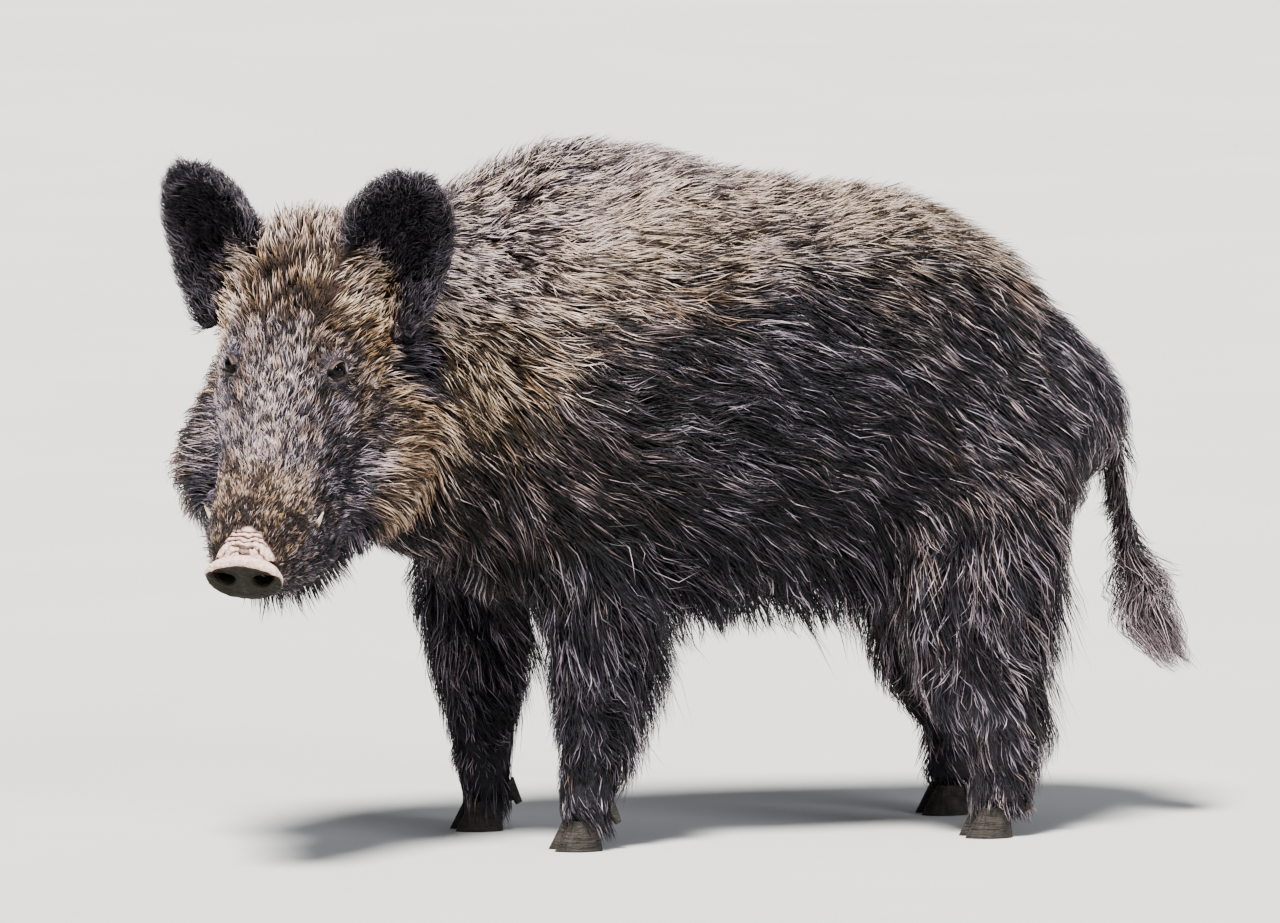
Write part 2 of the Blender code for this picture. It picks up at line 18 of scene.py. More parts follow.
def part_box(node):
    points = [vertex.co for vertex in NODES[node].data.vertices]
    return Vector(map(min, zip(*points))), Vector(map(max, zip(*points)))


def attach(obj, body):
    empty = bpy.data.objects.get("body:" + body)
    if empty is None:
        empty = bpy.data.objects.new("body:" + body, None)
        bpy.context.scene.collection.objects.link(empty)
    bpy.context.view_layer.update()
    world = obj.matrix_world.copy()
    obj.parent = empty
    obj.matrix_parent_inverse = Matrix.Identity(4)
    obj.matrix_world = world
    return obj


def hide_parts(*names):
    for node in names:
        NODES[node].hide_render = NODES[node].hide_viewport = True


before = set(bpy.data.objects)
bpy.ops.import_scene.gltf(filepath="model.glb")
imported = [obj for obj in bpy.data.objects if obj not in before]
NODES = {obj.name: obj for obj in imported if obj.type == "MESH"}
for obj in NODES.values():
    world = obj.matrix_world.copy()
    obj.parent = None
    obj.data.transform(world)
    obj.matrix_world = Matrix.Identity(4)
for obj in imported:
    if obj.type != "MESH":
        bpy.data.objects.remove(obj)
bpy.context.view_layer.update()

RNG = np.random.default_rng(7)
FORE_LEGS = ("leg_fore_left", "leg_fore_right")
HIND_LEGS = ("leg_hind_left", "leg_hind_right")
LEGS = FORE_LEGS + HIND_LEGS
EARS = ("ear_left", "ear_right")
FLESH = ("trunk", "neck", "head", *LEGS, *EARS, "snout", "tail")
SIDES = {"left": 1, "right": -1}  # the sign of y in the head's frame
SKIN_VOXEL = 0.005
CUT_GROWTH = 0.0006  # how far each part grows to close the cuts between them
FLOOR_GAP = 0.003  # the hair's tips stop this far above the floor

HEAD_TURN = math.radians(60)
HEAD_PITCH = math.radians(47)
HEAD_ROLL = math.radians(2.5)
EYE_AT = Vector((0.170, 0.0605, 0.037))
EYE_RADIUS = 0.0115
GAZE = Vector((0.36, 0.74, 0.50)).normalized()  # the left eye's, in the head's frame
LOOKING = Vector((0.46, 0.52, 0.62)).normalized()  # where the left pupil points
LID_LENGTH = 0.0102  # half the eye's opening along and across it
LID_HEIGHT = 0.0072
SNOUT_AT = Vector((0.4435, 0, 0.001))  # middle of the disc, in the head's frame
SNOUT_TILT = math.radians(-5)
TILT = math.cos(SNOUT_TILT), math.sin(SNOUT_TILT)
SNOUT_HALF = (0.0085, 0.045, 0.033)
NOSTRIL_AT = (0.0228, 0.001)
NOSTRIL_HALF = (0.0128, 0.0092)
# Creases over the bare snout: how far down the muzzle, half width, depth, and half reach.
SNOUT_CREASES = (
    (0.4368, 0.0011, 1.0, 0.045),
    (0.4296, 0.0008, 0.6, 0.045),
    (0.4222, 0.0012, 1.0, 0.009),
    (0.4214, 0.0008, 0.6, 0.045),
    (0.4158, 0.0008, 0.7, 0.030),
    (0.4106, 0.0009, 0.9, 0.018),
    (0.4052, 0.0008, 0.7, 0.014),
)
SNOUT_WIDTHS = (
    (0.397, 0.408, 0.414, 0.422, 0.436, 0.446),
    (0.0150, 0.0163, 0.0220, 0.0305, 0.0380, 0.0430),
)
EAR_AT = Vector((0.101, 0.098, -0.003))
EAR_ALONG = Vector((-0.565, 0.165, 0.807))
EAR_FACING = Vector((0.784, 0.394, 0.480))
EAR_LENGTH = 0.208
EAR_HALF_WIDTH = 0.062
EAR_BOW = 0.018  # how far the middle of the ear bows backwards

# The tail's middle line, X and Z from its root to the tip of its tassel, from the root.
TAIL_LINE = (
    (-0.030, 0.036), (0.000, 0.000), (0.028, -0.048), (0.038, -0.100),
    (0.045, -0.150), (0.052, -0.192), (0.062, -0.228), (0.074, -0.260),
    (0.088, -0.292), (0.106, -0.320), (0.130, -0.350),
)
BEHIND_HOOVES = Vector((0.010, 0, 0))
# Half the tail's width with its hair, at some of that line's points.
TASSEL_WIDTHS = (0, 3, 4, 6, 7, 9, 10), (0.015, 0.013, 0.026, 0.047, 0.047, 0.028, 0.012)
# The tail's radius without its hair, at the first of that line's points.
TAIL_ROD = (0.017, 0.0140, 0.0110, 0.0100, 0.0095, 0.0090, 0.0085, 0.0080)
ROD_SIDES = 12


# ---- small helpers
def unit(v):
    return v / np.maximum(np.linalg.norm(v, axis=-1, keepdims=True), 1e-9)


def dot(a, b):
    return np.sum(a * b, axis=-1, keepdims=True)


def size_of(vectors):
    return np.linalg.norm(vectors, axis=1)


def columns(*values):
    return np.stack(values, axis=1)


def ease(x, start, end):
    """0 before start, 1 after end, and smooth between them. Start may be the larger."""
    t = np.clip((x - start) / (end - start), 0, 1)
    return t * t * (3 - 2 * t)


def bell(x, middle, width):
    return np.exp(-(((x - middle) / width) ** 2))


def blend(a, b, t):
    return a + (b - a) * t


def noise(points, size, seed):
    """Smooth noise from -1 to 1 at each point, in blobs of that size in metres.

    Each seed gives another pattern.
    """
    q = points / size + seed * 17.31
    cell = np.floor(q).astype(np.int64)
    f = q - cell
    f = f * f * (3 - 2 * f)
    total = np.zeros(len(points))
    for corner in range(8):
        step = np.array([corner & 1, corner >> 1 & 1, corner >> 2 & 1])
        at = cell + step
        mixed = at[:, 0] * 73856093 ^ at[:, 1] * 19349663 ^ at[:, 2] * 83492791
        mixed = (mixed ^ mixed >> 13) * 1274126177 & 0xFFFFFF
        share = np.prod(np.where(step, f, 1 - f), axis=1)
        total += share * (mixed / 0x7FFFFF - 1)
    return total


def linear(*srgb):
    """Linear light from the three parts of an sRGB colour, or from several colours."""
    c = np.array(srgb, float)
    return np.where(c > 0.04045, ((c + 0.055) / 1.055) ** 2.4, c / 12.92)


def array_of(collection, field):
    found = np.zeros(len(collection) * 3, np.float32)
    collection.foreach_get(field, found)
    return found.reshape(-1, 3).astype(float)


def store(collection, field, values, kind=np.float32):
    collection.foreach_set(field, np.asarray(values).astype(kind).ravel())


def paint(mesh, name, colour):
    """Gives each vertex a colour, which a material reads by its name."""
    layer = mesh.color_attributes.new(name, "FLOAT_COLOR", "POINT")
    opaque = np.ones((*colour.shape[:-1], 1))
    store(layer.data, "color", np.concatenate([colour, opaque], axis=-1))


def mirrored(v, side):
    """A vector of the head's left side, or its mirror image on the right."""
    return Vector((v.x, side * v.y, v.z))


def mesh_from(bm, name):
    mesh = bpy.data.meshes.new(name)
    bm.to_mesh(mesh)
    bm.free()
    return mesh


def object_of(name, mesh):
    obj = bpy.data.objects.new(name, mesh)
    bpy.context.scene.collection.objects.link(obj)
    return obj


def applied(obj):
    """Puts the mesh that an object's modifiers make in place of its own."""
    graph = bpy.context.evaluated_depsgraph_get()
    graph.update()
    mesh = bpy.data.meshes.new_from_object(obj.evaluated_get(graph))
    obj.modifiers.clear()
    obj.data = mesh
    return obj


def remeshed(obj, passes):
    grain = obj.modifiers.new("grain", "REMESH")
    grain.mode, grain.voxel_size = "VOXEL", SKIN_VOXEL
    soften = obj.modifiers.new("soften", "SMOOTH")
    soften.factor, soften.iterations = 0.5, passes
    return applied(obj)


def relaxed(values, edges, times):
    """Values of vertices, each averaged with its neighbours, over and over."""
    count = len(values)
    a, b = edges[:, 0], edges[:, 1]
    links = np.maximum(np.bincount(a, minlength=count) + np.bincount(b, minlength=count), 1)
    for _ in range(times):
        total = np.empty_like(values)
        for k in range(values.shape[1]):
            column = values[:, k]
            total[:, k] = np.bincount(a, column[b], count) + np.bincount(b, column[a], count)
        values = 0.5 * values + 0.5 * total / links[:, None]
    return values


# ---- frames of parts
def head_matrix():
    """From the head's own frame (x to the nose, y to its left, z to its crown)."""
    ahead = Vector((-math.cos(HEAD_TURN), -math.sin(HEAD_TURN), 0))
    left = Vector((math.sin(HEAD_TURN), -math.cos(HEAD_TURN), 0))
    nose = ahead * math.cos(HEAD_PITCH) - Vector((0, 0, math.sin(HEAD_PITCH)))
    turn = Matrix((nose, left, nose.cross(left))).transposed().to_4x4()
    turn = turn @ Matrix.Rotation(-HEAD_ROLL, 4, "X")
    low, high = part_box("eye_left")
    return Matrix.Translation((low + high) / 2 - turn @ EYE_AT) @ turn


HEAD = head_matrix()


def local(points, matrix):
    inverse = np.array(matrix.inverted())
    return points @ inverse[:3, :3].T + inverse[:3, 3]


def ear_matrix(side):
    """From an ear's own frame (x out of its hollow, y across, z to its tip)."""
    length = EAR_ALONG.normalized()
    facing = (EAR_FACING - length * EAR_FACING.dot(length)).normalized()
    turn = Matrix((facing, length.cross(facing), length)).transposed().to_4x4()
    mirror = Matrix.Diagonal((1, side, 1, 1))
    return HEAD @ mirror @ Matrix.Translation(EAR_AT) @ turn


def middle(node):
    low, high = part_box(node)
    return (low + high) / 2


BODY_Y = middle("tail").y


def leg_middle(leg):
    """A spot in the middle of a leg, a little behind the middle of its two hooves."""
    a, b = (middle(leg.replace("leg", "hoof") + toe) for toe in ("_a", "_b"))
    return (a + b) / 2 + BEHIND_HOOVES


LEG_AT = {leg: leg_middle(leg) for leg in LEGS}


def tail_points():
    root = Vector((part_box("tail")[1].x - 0.130, BODY_Y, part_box("tail")[0].z + 0.350))
    return [root + Vector((x, 0, z)) for x, z in TAIL_LINE]


TAIL = tail_points()


# ---- where one is
class Places:
    """For points on the body: how far each belongs to each part, and its own frames."""

    def __init__(self, points, weights):
        self.p = points
        self.w = weights
        self.head = local(points, HEAD)
        self.head_only = self.of("head", "snout")
        self.x, self.y, self.z = points[:, 0], points[:, 1] - BODY_Y, points[:, 2]

    def of(self, *names):
        return sum(self.w[:, FLESH.index(name)] for name in names)

    def share(self, *names):
        return np.clip(self.of(*names), 0, 1)

    def mixed(self, trunk, neck, head, leg, ear, tail):
        """One value at each point, from those of the parts that it belongs to."""
        return (
            self.of("trunk") * trunk
            + self.of("neck") * neck
            + self.head_only * head
            + self.of(*LEGS) * leg
            + self.of(*EARS) * ear
            + self.of("tail") * tail
        )

    def ear(self, side):
        return local(self.p, ear_matrix(SIDES[side]))


def part_tree():
    """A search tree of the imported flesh, and the part that each of its faces is of."""
    points, faces, owner = [], [], []
    for k, name in enumerate(FLESH):
        mesh = NODES[name].data
        start = len(points)
        points.extend(v.co.copy() for v in mesh.vertices)
        for face in mesh.polygons:
            faces.append([start + i for i in face.vertices])
            owner.append(k)
    return BVHTree.FromPolygons(points, faces), np.array(owner)


CAD_TREE, CAD_OWNER = part_tree()


def belonging(points, edges):
    """How far each vertex belongs to each part, blended over the joins."""
    owner = [CAD_TREE.find_nearest(p)[2] for p in points.tolist()]
    weights = np.eye(len(FLESH))[CAD_OWNER[owner]]
    return relaxed(weights, edges, 10)


def from_eyes(p):
    """Distance to the middle of the nearer eye, in the head's frame."""
    away = columns(p[:, 0], np.abs(p[:, 1]), p[:, 2]) - np.array(EYE_AT)
    return size_of(away)


def coat_depth(at):
    """How far the skin lies inside the tips of the coat."""
    hx, hy, hz = at.head.T
    ruff = ease(hx, 0.31, 0.22) * ease(hz + 0.25 * np.abs(hy), 0.0, -0.05)
    poll = ease(hx, 0.13, 0.05)
    face = blend(0.0065, 0.0030, ease(hx, 0.20, 0.36))
    face = blend(face, 0.010, ease(hx, 0.165, 0.12) * ease(hz, 0.0, 0.03))
    face = blend(face, 0.017, np.maximum(ruff, poll))
    chin = ease(hz, -0.075, -0.105) * ease(hx, 0.24, 0.28)
    face = blend(face, 0.016, chin)
    face = face * ease(hx, 0.445, 0.415) + 0.0002
    face = face * blend(0.25, 1.0, ease(from_eyes(at.head), 0.014, 0.036))
    trunk = blend(0.021, 0.034, ease(at.z, 0.42, 0.32))
    leg = blend(0.0042, 0.018, ease(at.z, 0.050, 0.30))
    return at.mixed(trunk=trunk, neck=0.021, head=face, leg=leg, ear=0.0030, tail=0.001)


# ---- skin
def tail_rod():
    """The tail under its hair, as a closed tapering rod."""
    bm = bmesh.new()
    rings = []
    line = TAIL[: len(TAIL_ROD)]
    for k, (centre, radius) in enumerate(zip(line, TAIL_ROD)):
        along = (TAIL[k + 1] - TAIL[max(k - 1, 0)]).normalized()
        side = Vector((0, 1, 0))
        out = along.cross(side).normalized()
        ring = []
        for i in range(ROD_SIDES):
            angle = 2 * math.pi * i / ROD_SIDES
            spot = centre + (side * math.cos(angle) + out * math.sin(angle)) * radius
            ring.append(bm.verts.new(spot))
        rings.append(ring)
    for low, high in zip(rings, rings[1:]):
        for i in range(ROD_SIDES):
            j = (i + 1) % ROD_SIDES
            bm.faces.new((low[i], low[j], high[j], high[i]))
    bm.faces.new(rings[0])
    bm.faces.new(rings[-1])
    bmesh.ops.recalc_face_normals(bm, faces=bm.faces)
    return bm


def fused_flesh():
    """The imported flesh, grown across its parting cuts and fused into one."""
    whole = bmesh.new()
    for name in FLESH:
        if name == "tail":
            part = tail_rod()
        else:
            part = bmesh.new()
            part.from_mesh(NODES[name].data)
            bmesh.ops.remove_doubles(part, verts=part.verts, dist=1e-5)
            part.normal_update()
            for vert in part.verts:
                vert.co += vert.normal * CUT_GROWTH
        mesh = mesh_from(part, name + "_copy")
        whole.from_mesh(mesh)
        bpy.data.meshes.remove(mesh)
    return remeshed(object_of("hide", mesh_from(whole, "hide")), 3)


def state(mesh):
    """A mesh's vertices, their normals and its edges, as arrays."""
    edges = np.zeros(len(mesh.edges) * 2, np.int32)
    mesh.edges.foreach_get("vertices", edges)
    points = array_of(mesh.vertices, "co")
    normals = array_of(mesh.vertex_normals, "vector")
    return points, normals, edges.reshape(-1, 2)


def set_points(mesh, points):
    store(mesh.vertices, "co", points)
    mesh.update()


def refine(obj, near, times):
    """Splits the faces near some spots of the head, so that small folds can be cut."""
    for level in range(times):
        bm = bmesh.new()
        bm.from_mesh(obj.data)
        points = local(np.array([v.co for v in bm.verts]), HEAD)
        wanted = near(points, level)
        bm.verts.ensure_lookup_table()
        edges = [e for e in bm.edges if wanted[e.verts[0].index] and wanted[e.verts[1].index]]
        bmesh.ops.subdivide_edges(bm, edges=edges, cuts=1, use_grid_fill=True)
        bm.to_mesh(obj.data)
        bm.free()


def detailed_spots(p, level):
    """Round the eyes and over the front of the muzzle, closer in at each level."""
    eyes = from_eyes(p) < (0.046, 0.031, 0.021)[level]
    muzzle = p[:, 0] > (0.31, 0.385, 0.428)[level]
    if level == 2:
        muzzle |= (p[:, 0] > 0.395) & (p[:, 2] > 0.01) & (np.abs(p[:, 1]) < 0.045)
    near = size_of(p - (0.3, 0, -0.02)) < 0.2
    return (eyes | muzzle) & near


def eye_frame(side):
    """An eye's middle, its gaze, and the ways along and up its opening."""
    centre, gaze = np.array(mirrored(EYE_AT, side)), np.array(mirrored(GAZE, side))
    corner = np.array((0.74, -0.33 * side, 0.58))
    along = unit(corner - gaze * dot(gaze, corner))
    return centre, gaze, along, np.cross(gaze, along) * -side


def opening(a, b):
    """How far out of the eye's opening a point is: 1 on the rim of the lids."""
    lift = b - 0.0014 + 0.0018 * (a / LID_LENGTH) ** 2 + 0.12 * a
    high = np.where(lift > 0, LID_HEIGHT * 0.92, LID_HEIGHT * 1.05)
    return np.sqrt((a / LID_LENGTH) ** 2 + (lift / high) ** 2)


def sculpt_eyes(p):
    """Lids over the eyeballs, brow, bag and the folds round them."""
    for side in SIDES.values():
        centre, gaze, along, up = eye_frame(side)
        away = p - centre
        a, b, g = away @ along, away @ up, away @ gaze
        r = np.hypot(a, b)
        ring = opening(a, b)
        ball = EYE_RADIUS + blend(-0.0030, 0.0005, ease(ring, 0.86, 0.99))
        ball = ball + 0.0012 * ease(ring, 1.0, 1.22)
        lid = np.sqrt(np.maximum(ball**2 - r**2, 0.004**2))
        lid = lid - 0.0014 * bell(ring, 1.55, 0.12) * ease(b, -0.003, 0.004)
        lid = lid - 0.0011 * bell(ring, 1.58, 0.15) * ease(b, 0.002, -0.004)
        height = blend(lid, g, ease(r, 0.0105, 0.0205))
        brow = 0.0075 * bell(a, -0.002, 0.016) * bell(b, 0.0175, 0.0055)
        bag = 0.0024 * bell(a, -0.001, 0.011) * bell(b, -0.0140, 0.0035)
        tear = -0.0030 * bell(a - 0.0125 + 0.2 * b, 0.0, 0.0020) * ease(b, -0.030, -0.018)
        tear = tear * ease(b, 0.001, -0.004)
        height = height + brow + bag + tear
        hold = ease(r, 0.034, 0.024) * (g > -0.010)
        p = p + gaze * (hold * (height - g))[:, None]
    return p


def sculpt_skull(p):
    """Cheekbone, hollow under it, nose bridge and the bulge over the tusk."""
    x, y, z = p.T
    ay = np.abs(y)
    push = np.zeros_like(p)
    bone = bell(x, 0.175, 0.060) * bell(z, -0.022, 0.014) * ease(ay, 0.03, 0.06)
    hollow = bell(x, 0.265, 0.050) * bell(z, -0.012, 0.022) * ease(ay, 0.02, 0.045)
    groove = bell(x, 0.215, 0.030) * bell(z, 0.012, 0.010) * ease(ay, 0.03, 0.05)
    tusk = bell(x, 0.352, 0.022) * bell(z, -0.030, 0.018) * ease(ay, 0.02, 0.045)
    push[:, 1] = np.sign(y) * (0.004 * bone - 0.006 * hollow - 0.003 * groove + 0.0055 * tusk)
    bridge = bell(ay, 0, 0.020) * ease(x, 0.16, 0.22) * ease(x, 0.40, 0.34) * ease(z, 0, 0.02)
    beside = 0.0020 * bell(ay, 0.030, 0.008) * ease(x, 0.2, 0.24)
    beside = beside * ease(x, 0.38, 0.34) * ease(z, 0.01, 0.03)
    push[:, 2] = 0.0030 * bridge - beside
    return p + push


def mouth_height(x):
    """Height of the mouth's line along the side of the muzzle."""
    return -0.0385 - 0.020 * ease(x, 0.42, 0.33) - 0.006 * bell(x, 0.35, 0.02)


def sculpt_mouth(p):
    """The slit of the mouth along each side of the muzzle, with the lips over and under it."""
    x, y, z = p.T
    line = mouth_height(x)
    depth = ease(x, 0.285, 0.31) * ease(x, 0.437, 0.425)
    inward = columns(np.zeros_like(x), -np.sign(y), np.zeros_like(x))
    slit = bell(z, line, 0.0028) * depth
    lip = (bell(z, line + 0.008, 0.005) + 0.8 * bell(z, line - 0.008, 0.005)) * depth
    on_side = ease(np.abs(y), 0.006, 0.02)
    return p + inward * ((0.0060 * slit - 0.0022 * lip) * on_side)[:, None]


def disc_frame(p):
    """Points in the snout disc's own frame: out of it, across it and up it."""
    c, s = TILT
    x, y, z = (p - np.array(SNOUT_AT)).T
    return x * c - z * s, y, x * s + z * c


def disc_ring(y, dz):
    """1 on the edge of the snout's disc, and 0 in its middle."""
    return np.sqrt((y / SNOUT_HALF[1]) ** 2 + (dz / SNOUT_HALF[2]) ** 2)


def nostril_ring(y, dz, side):
    """1 on the edge of a nostril, a comma that opens outwards and upwards."""
    ny = side * y - NOSTRIL_AT[0]
    nz = dz - NOSTRIL_AT[1] - 0.28 * ny - 22 * ny**2
    return np.sqrt((ny / NOSTRIL_HALF[0]) ** 2 + (nz / NOSTRIL_HALF[1]) ** 2)


def snout_wave(p):
    """Distance down the muzzle, bent the way that the folds of the bare snout run."""
    x, y, _ = p.T
    bend = 0.012 * ease(np.abs(y), 0.006, 0.030) * ease(x, 0.408, 0.438)
    return x - bend + 0.0024 * noise(p, 0.013, 3) + 0.0012 * noise(p, 0.005, 4)


def wrinkles(p):
    """Height of the ridges across the bare snout, 0 in a crease to 1 on a ridge."""
    y = p[:, 1] + 0.0030 * noise(p, 0.010, 6)
    wave = snout_wave(p)
    height = np.ones(len(p))
    for at, width, depth, reach in SNOUT_CREASES:
        held = ease(np.abs(y), reach + 0.006, reach)
        height -= depth * bell(wave, at, width) * held
    lobes = 1 - np.abs(np.cos(y * math.pi / 0.0070)) ** 0.35
    height -= 0.55 * lobes * ease(np.abs(y), 0.005, 0.009) * ease(wave, 0.436, 0.433)
    box = ease(np.abs(y), 0.0062, 0.0046) * ease(wave, 0.4225, 0.4238) * ease(wave, 0.437, 0.4358)
    height -= 0.50 * box + 0.45 * bell(np.abs(y), 0.0058, 0.0008) * (box > 0.01)
    return np.clip(height, 0, 1)


def bare_snout(p):
    """How far a point is on the hairless skin on top of the muzzle's end, 0 to 1."""
    x, y, z = p.T
    width = np.interp(x, *SNOUT_WIDTHS) + 0.0022 * noise(p, 0.008, 10)
    start = 0.397 + 8 * y * y + 0.004 * noise(p, 0.010, 9)
    edge = ease(np.abs(y), width + 0.003, width) * ease(z, 0.0, 0.012)
    return ease(x, start, start + 0.006) * edge


def rim_edge(y):
    """Height of the lower edge of the snout's rolled upper rim, across the disc."""
    return SNOUT_HALF[2] * (0.78 - 0.52 * (y / SNOUT_HALF[1]) ** 2)


def sculpt_snout(p):
    """The disc's rim and nostrils, and the wrinkled bare skin behind it."""
    dx, y, dz = disc_frame(p)
    near = ease(size_of(p - np.array(SNOUT_AT)), 0.075, 0.055)
    rho = disc_ring(y, dz)
    front = ease(dx, 0.0, 0.005) * near
    over = dz - rim_edge(y)
    below = ease(over, 0.0008, -0.0012)
    dish = 0.0016 * bell(rho, 0.95, 0.07) - 0.0030 * ease(rho, 0.97, 0.60) * below
    dish = dish + 0.0014 * bell(y, 0, 0.005) * ease(rho, 0.85, 0.5) * below
    dish = dish + 0.0022 * bell(over, 0.0022, 0.0028) - 0.34 * np.maximum(over - 0.005, 0)
    hole = np.zeros_like(y)
    for side in SIDES.values():
        ring = nostril_ring(y, dz, side)
        hole += -0.012 * ease(ring, 1.02, 0.60) + 0.0014 * bell(ring, 1.22, 0.18)
    dx = dx + front * (dish + hole)
    squeeze = 1 - 0.095 * bell(dx, -0.0095, 0.0032) * near * ease(rho, 0.7, 0.95)
    swell = 1 + 0.085 * bell(dx, 0.0040, 0.0048) * near * ease(rho, 0.70, 0.95)
    flare = 1 + 0.09 * np.clip(dz / SNOUT_HALF[2], -1, 1) * near * ease(dx, -0.014, 0.0)
    y, dz = y * squeeze * swell * flare, dz * squeeze * swell
    dz = dz + 0.0030 * bell(y, 0, 0.012) * ease(dz, 0.018, 0.030) * ease(dx, -0.012, 0.0) * near
    c, s = TILT
    p = columns(dx * c + dz * s, y, -dx * s + dz * c) + np.array(SNOUT_AT)
    ridges = 0.0034 * (wrinkles(p) - 0.70) + 0.0008 * noise(p, 0.006, 5)
    lift = bare_snout(p) * ease(p[:, 0], 0.437, 0.430) * ridges
    p[:, 2] += lift
    p[:, 0] += 0.3 * lift
    return p


def toe_split(points):
    """The groove between the two toes, above the front of each foot."""
    for at in LEG_AT.values():
        dx, dy = points[:, 0] - at.x, points[:, 1] - at.y
        near = (np.hypot(dx, dy) < 0.06) & (points[:, 2] < 0.09)
        depth = bell(dy, 0, 0.0045) * ease(dx, 0.0, -0.018) * ease(points[:, 2], 0.085, 0.045)
        points[:, 0] += 0.006 * depth * near
    return points


def make_skin():
    """The fused flesh, drawn in by the coat's depth and sculpted at the head and feet."""
    obj = fused_flesh()
    points, normals, edges = state(obj.data)
    at = Places(points, belonging(points, edges))
    depth = relaxed(coat_depth(at)[:, None], edges, 6)
    normals = unit(relaxed(normals, edges, 3))
    set_points(obj.data, points - normals * (depth + CUT_GROWTH))
    remeshed(obj, 4)
    refine(obj, detailed_spots, 3)
    points = array_of(obj.data.vertices, "co")
    head = np.array(HEAD)
    p = local(points, HEAD)
    near = size_of(p - (0.26, 0, -0.02)) < 0.26
    shaped = sculpt_snout(sculpt_mouth(sculpt_eyes(sculpt_skull(p[near]))))
    points[near] = shaped @ head[:3, :3].T + head[:3, 3]
    set_points(obj.data, toe_split(points))
    obj.data.shade_smooth()
    return obj


skin = make_skin()
SKIN_POINTS, SKIN_NORMALS, SKIN_EDGES = state(skin.data)
SKIN_AT = Places(SKIN_POINTS, belonging(SKIN_POINTS, SKIN_EDGES))


# ---- markings
# Colours of warm and cool hair at four tones, from black to cream.
TONES = (0.0, 0.3, 0.62, 1.0)
WARM = linear(
    (0.080, 0.068, 0.062), (0.36, 0.28, 0.215), (0.72, 0.58, 0.43), (0.98, 0.89, 0.79)
)
COOL = linear(
    (0.076, 0.076, 0.090), (0.315, 0.30, 0.345), (0.645, 0.60, 0.66), (0.98, 0.91, 0.935)
)


def hair_colour(tone, cool):
    """Linear colours of hair by tone, 0 black to 1 cream, and by how cool it is."""
    tone = np.clip(tone, 0, 1)
    warm = np.stack([np.interp(tone, TONES, WARM[:, k]) for k in range(3)], axis=1)
    cold = np.stack([np.interp(tone, TONES, COOL[:, k]) for k in range(3)], axis=1)
    return blend(warm, cold, np.clip(cool, 0, 1)[:, None])


def drawn(hair, tone, cool, share):
    """Hair's tone and coolness, drawn towards another pair by a share."""
    return blend(hair[0], tone, share), blend(hair[1], cool, share)


def body_hair(at):
    """Cream over neck and back, partly painted light, tan on the shoulder, near black low on the
    flank.
    """
    wander = 0.06 * noise(at.p, 0.10, 1) + 0.05 * noise(at.p, 0.030, 2)
    height = (at.z - 0.30) / 0.50 + wander
    edge = np.interp(
        at.x,
        (-0.42, -0.30, -0.17, -0.05, 0.10, 0.25, 0.38, 0.50),
        (0.36, 0.49, 0.63, 0.765, 0.80, 0.79, 0.75, 0.65),
    )
    above = (-0.60, -0.32, -0.12, 0.00, 0.11, 0.22)
    # The tone climbs towards the top partly as painted light from above on the back.
    tone = np.interp(height - edge, above, (0.10, 0.11, 0.16, 0.47, 0.84, 1.0))
    withers = bell(at.x, -0.20, 0.11) * ease(at.z, 0.66, 0.74)
    tone = tone - 0.45 * withers * ease(noise(at.p, 0.024, 5), 0.0, 0.5)
    rear = ease(at.x, 0.20, 0.42)
    tone = blend(tone, np.clip(tone, 0.31, 0.74), rear)
    front = ease(at.x, -0.14, -0.30) * ease(at.z, 0.68, 0.55) * ease(at.z, 0.44, 0.54)
    tone = blend(tone, 0.50, 0.85 * front)
    cool = 0.50 + 0.20 * noise(at.p, 0.12, 4) - 0.04 * rear - 0.4 * front
    cool = cool - 0.22 * bell(height - edge, 0.06, 0.10) + 0.22 * ease(height, edge, edge - 0.18)
    cool = cool + 0.20 * ease(height, 0.85, 0.6) * ease(at.x, -0.12, 0.05)
    return tone, cool


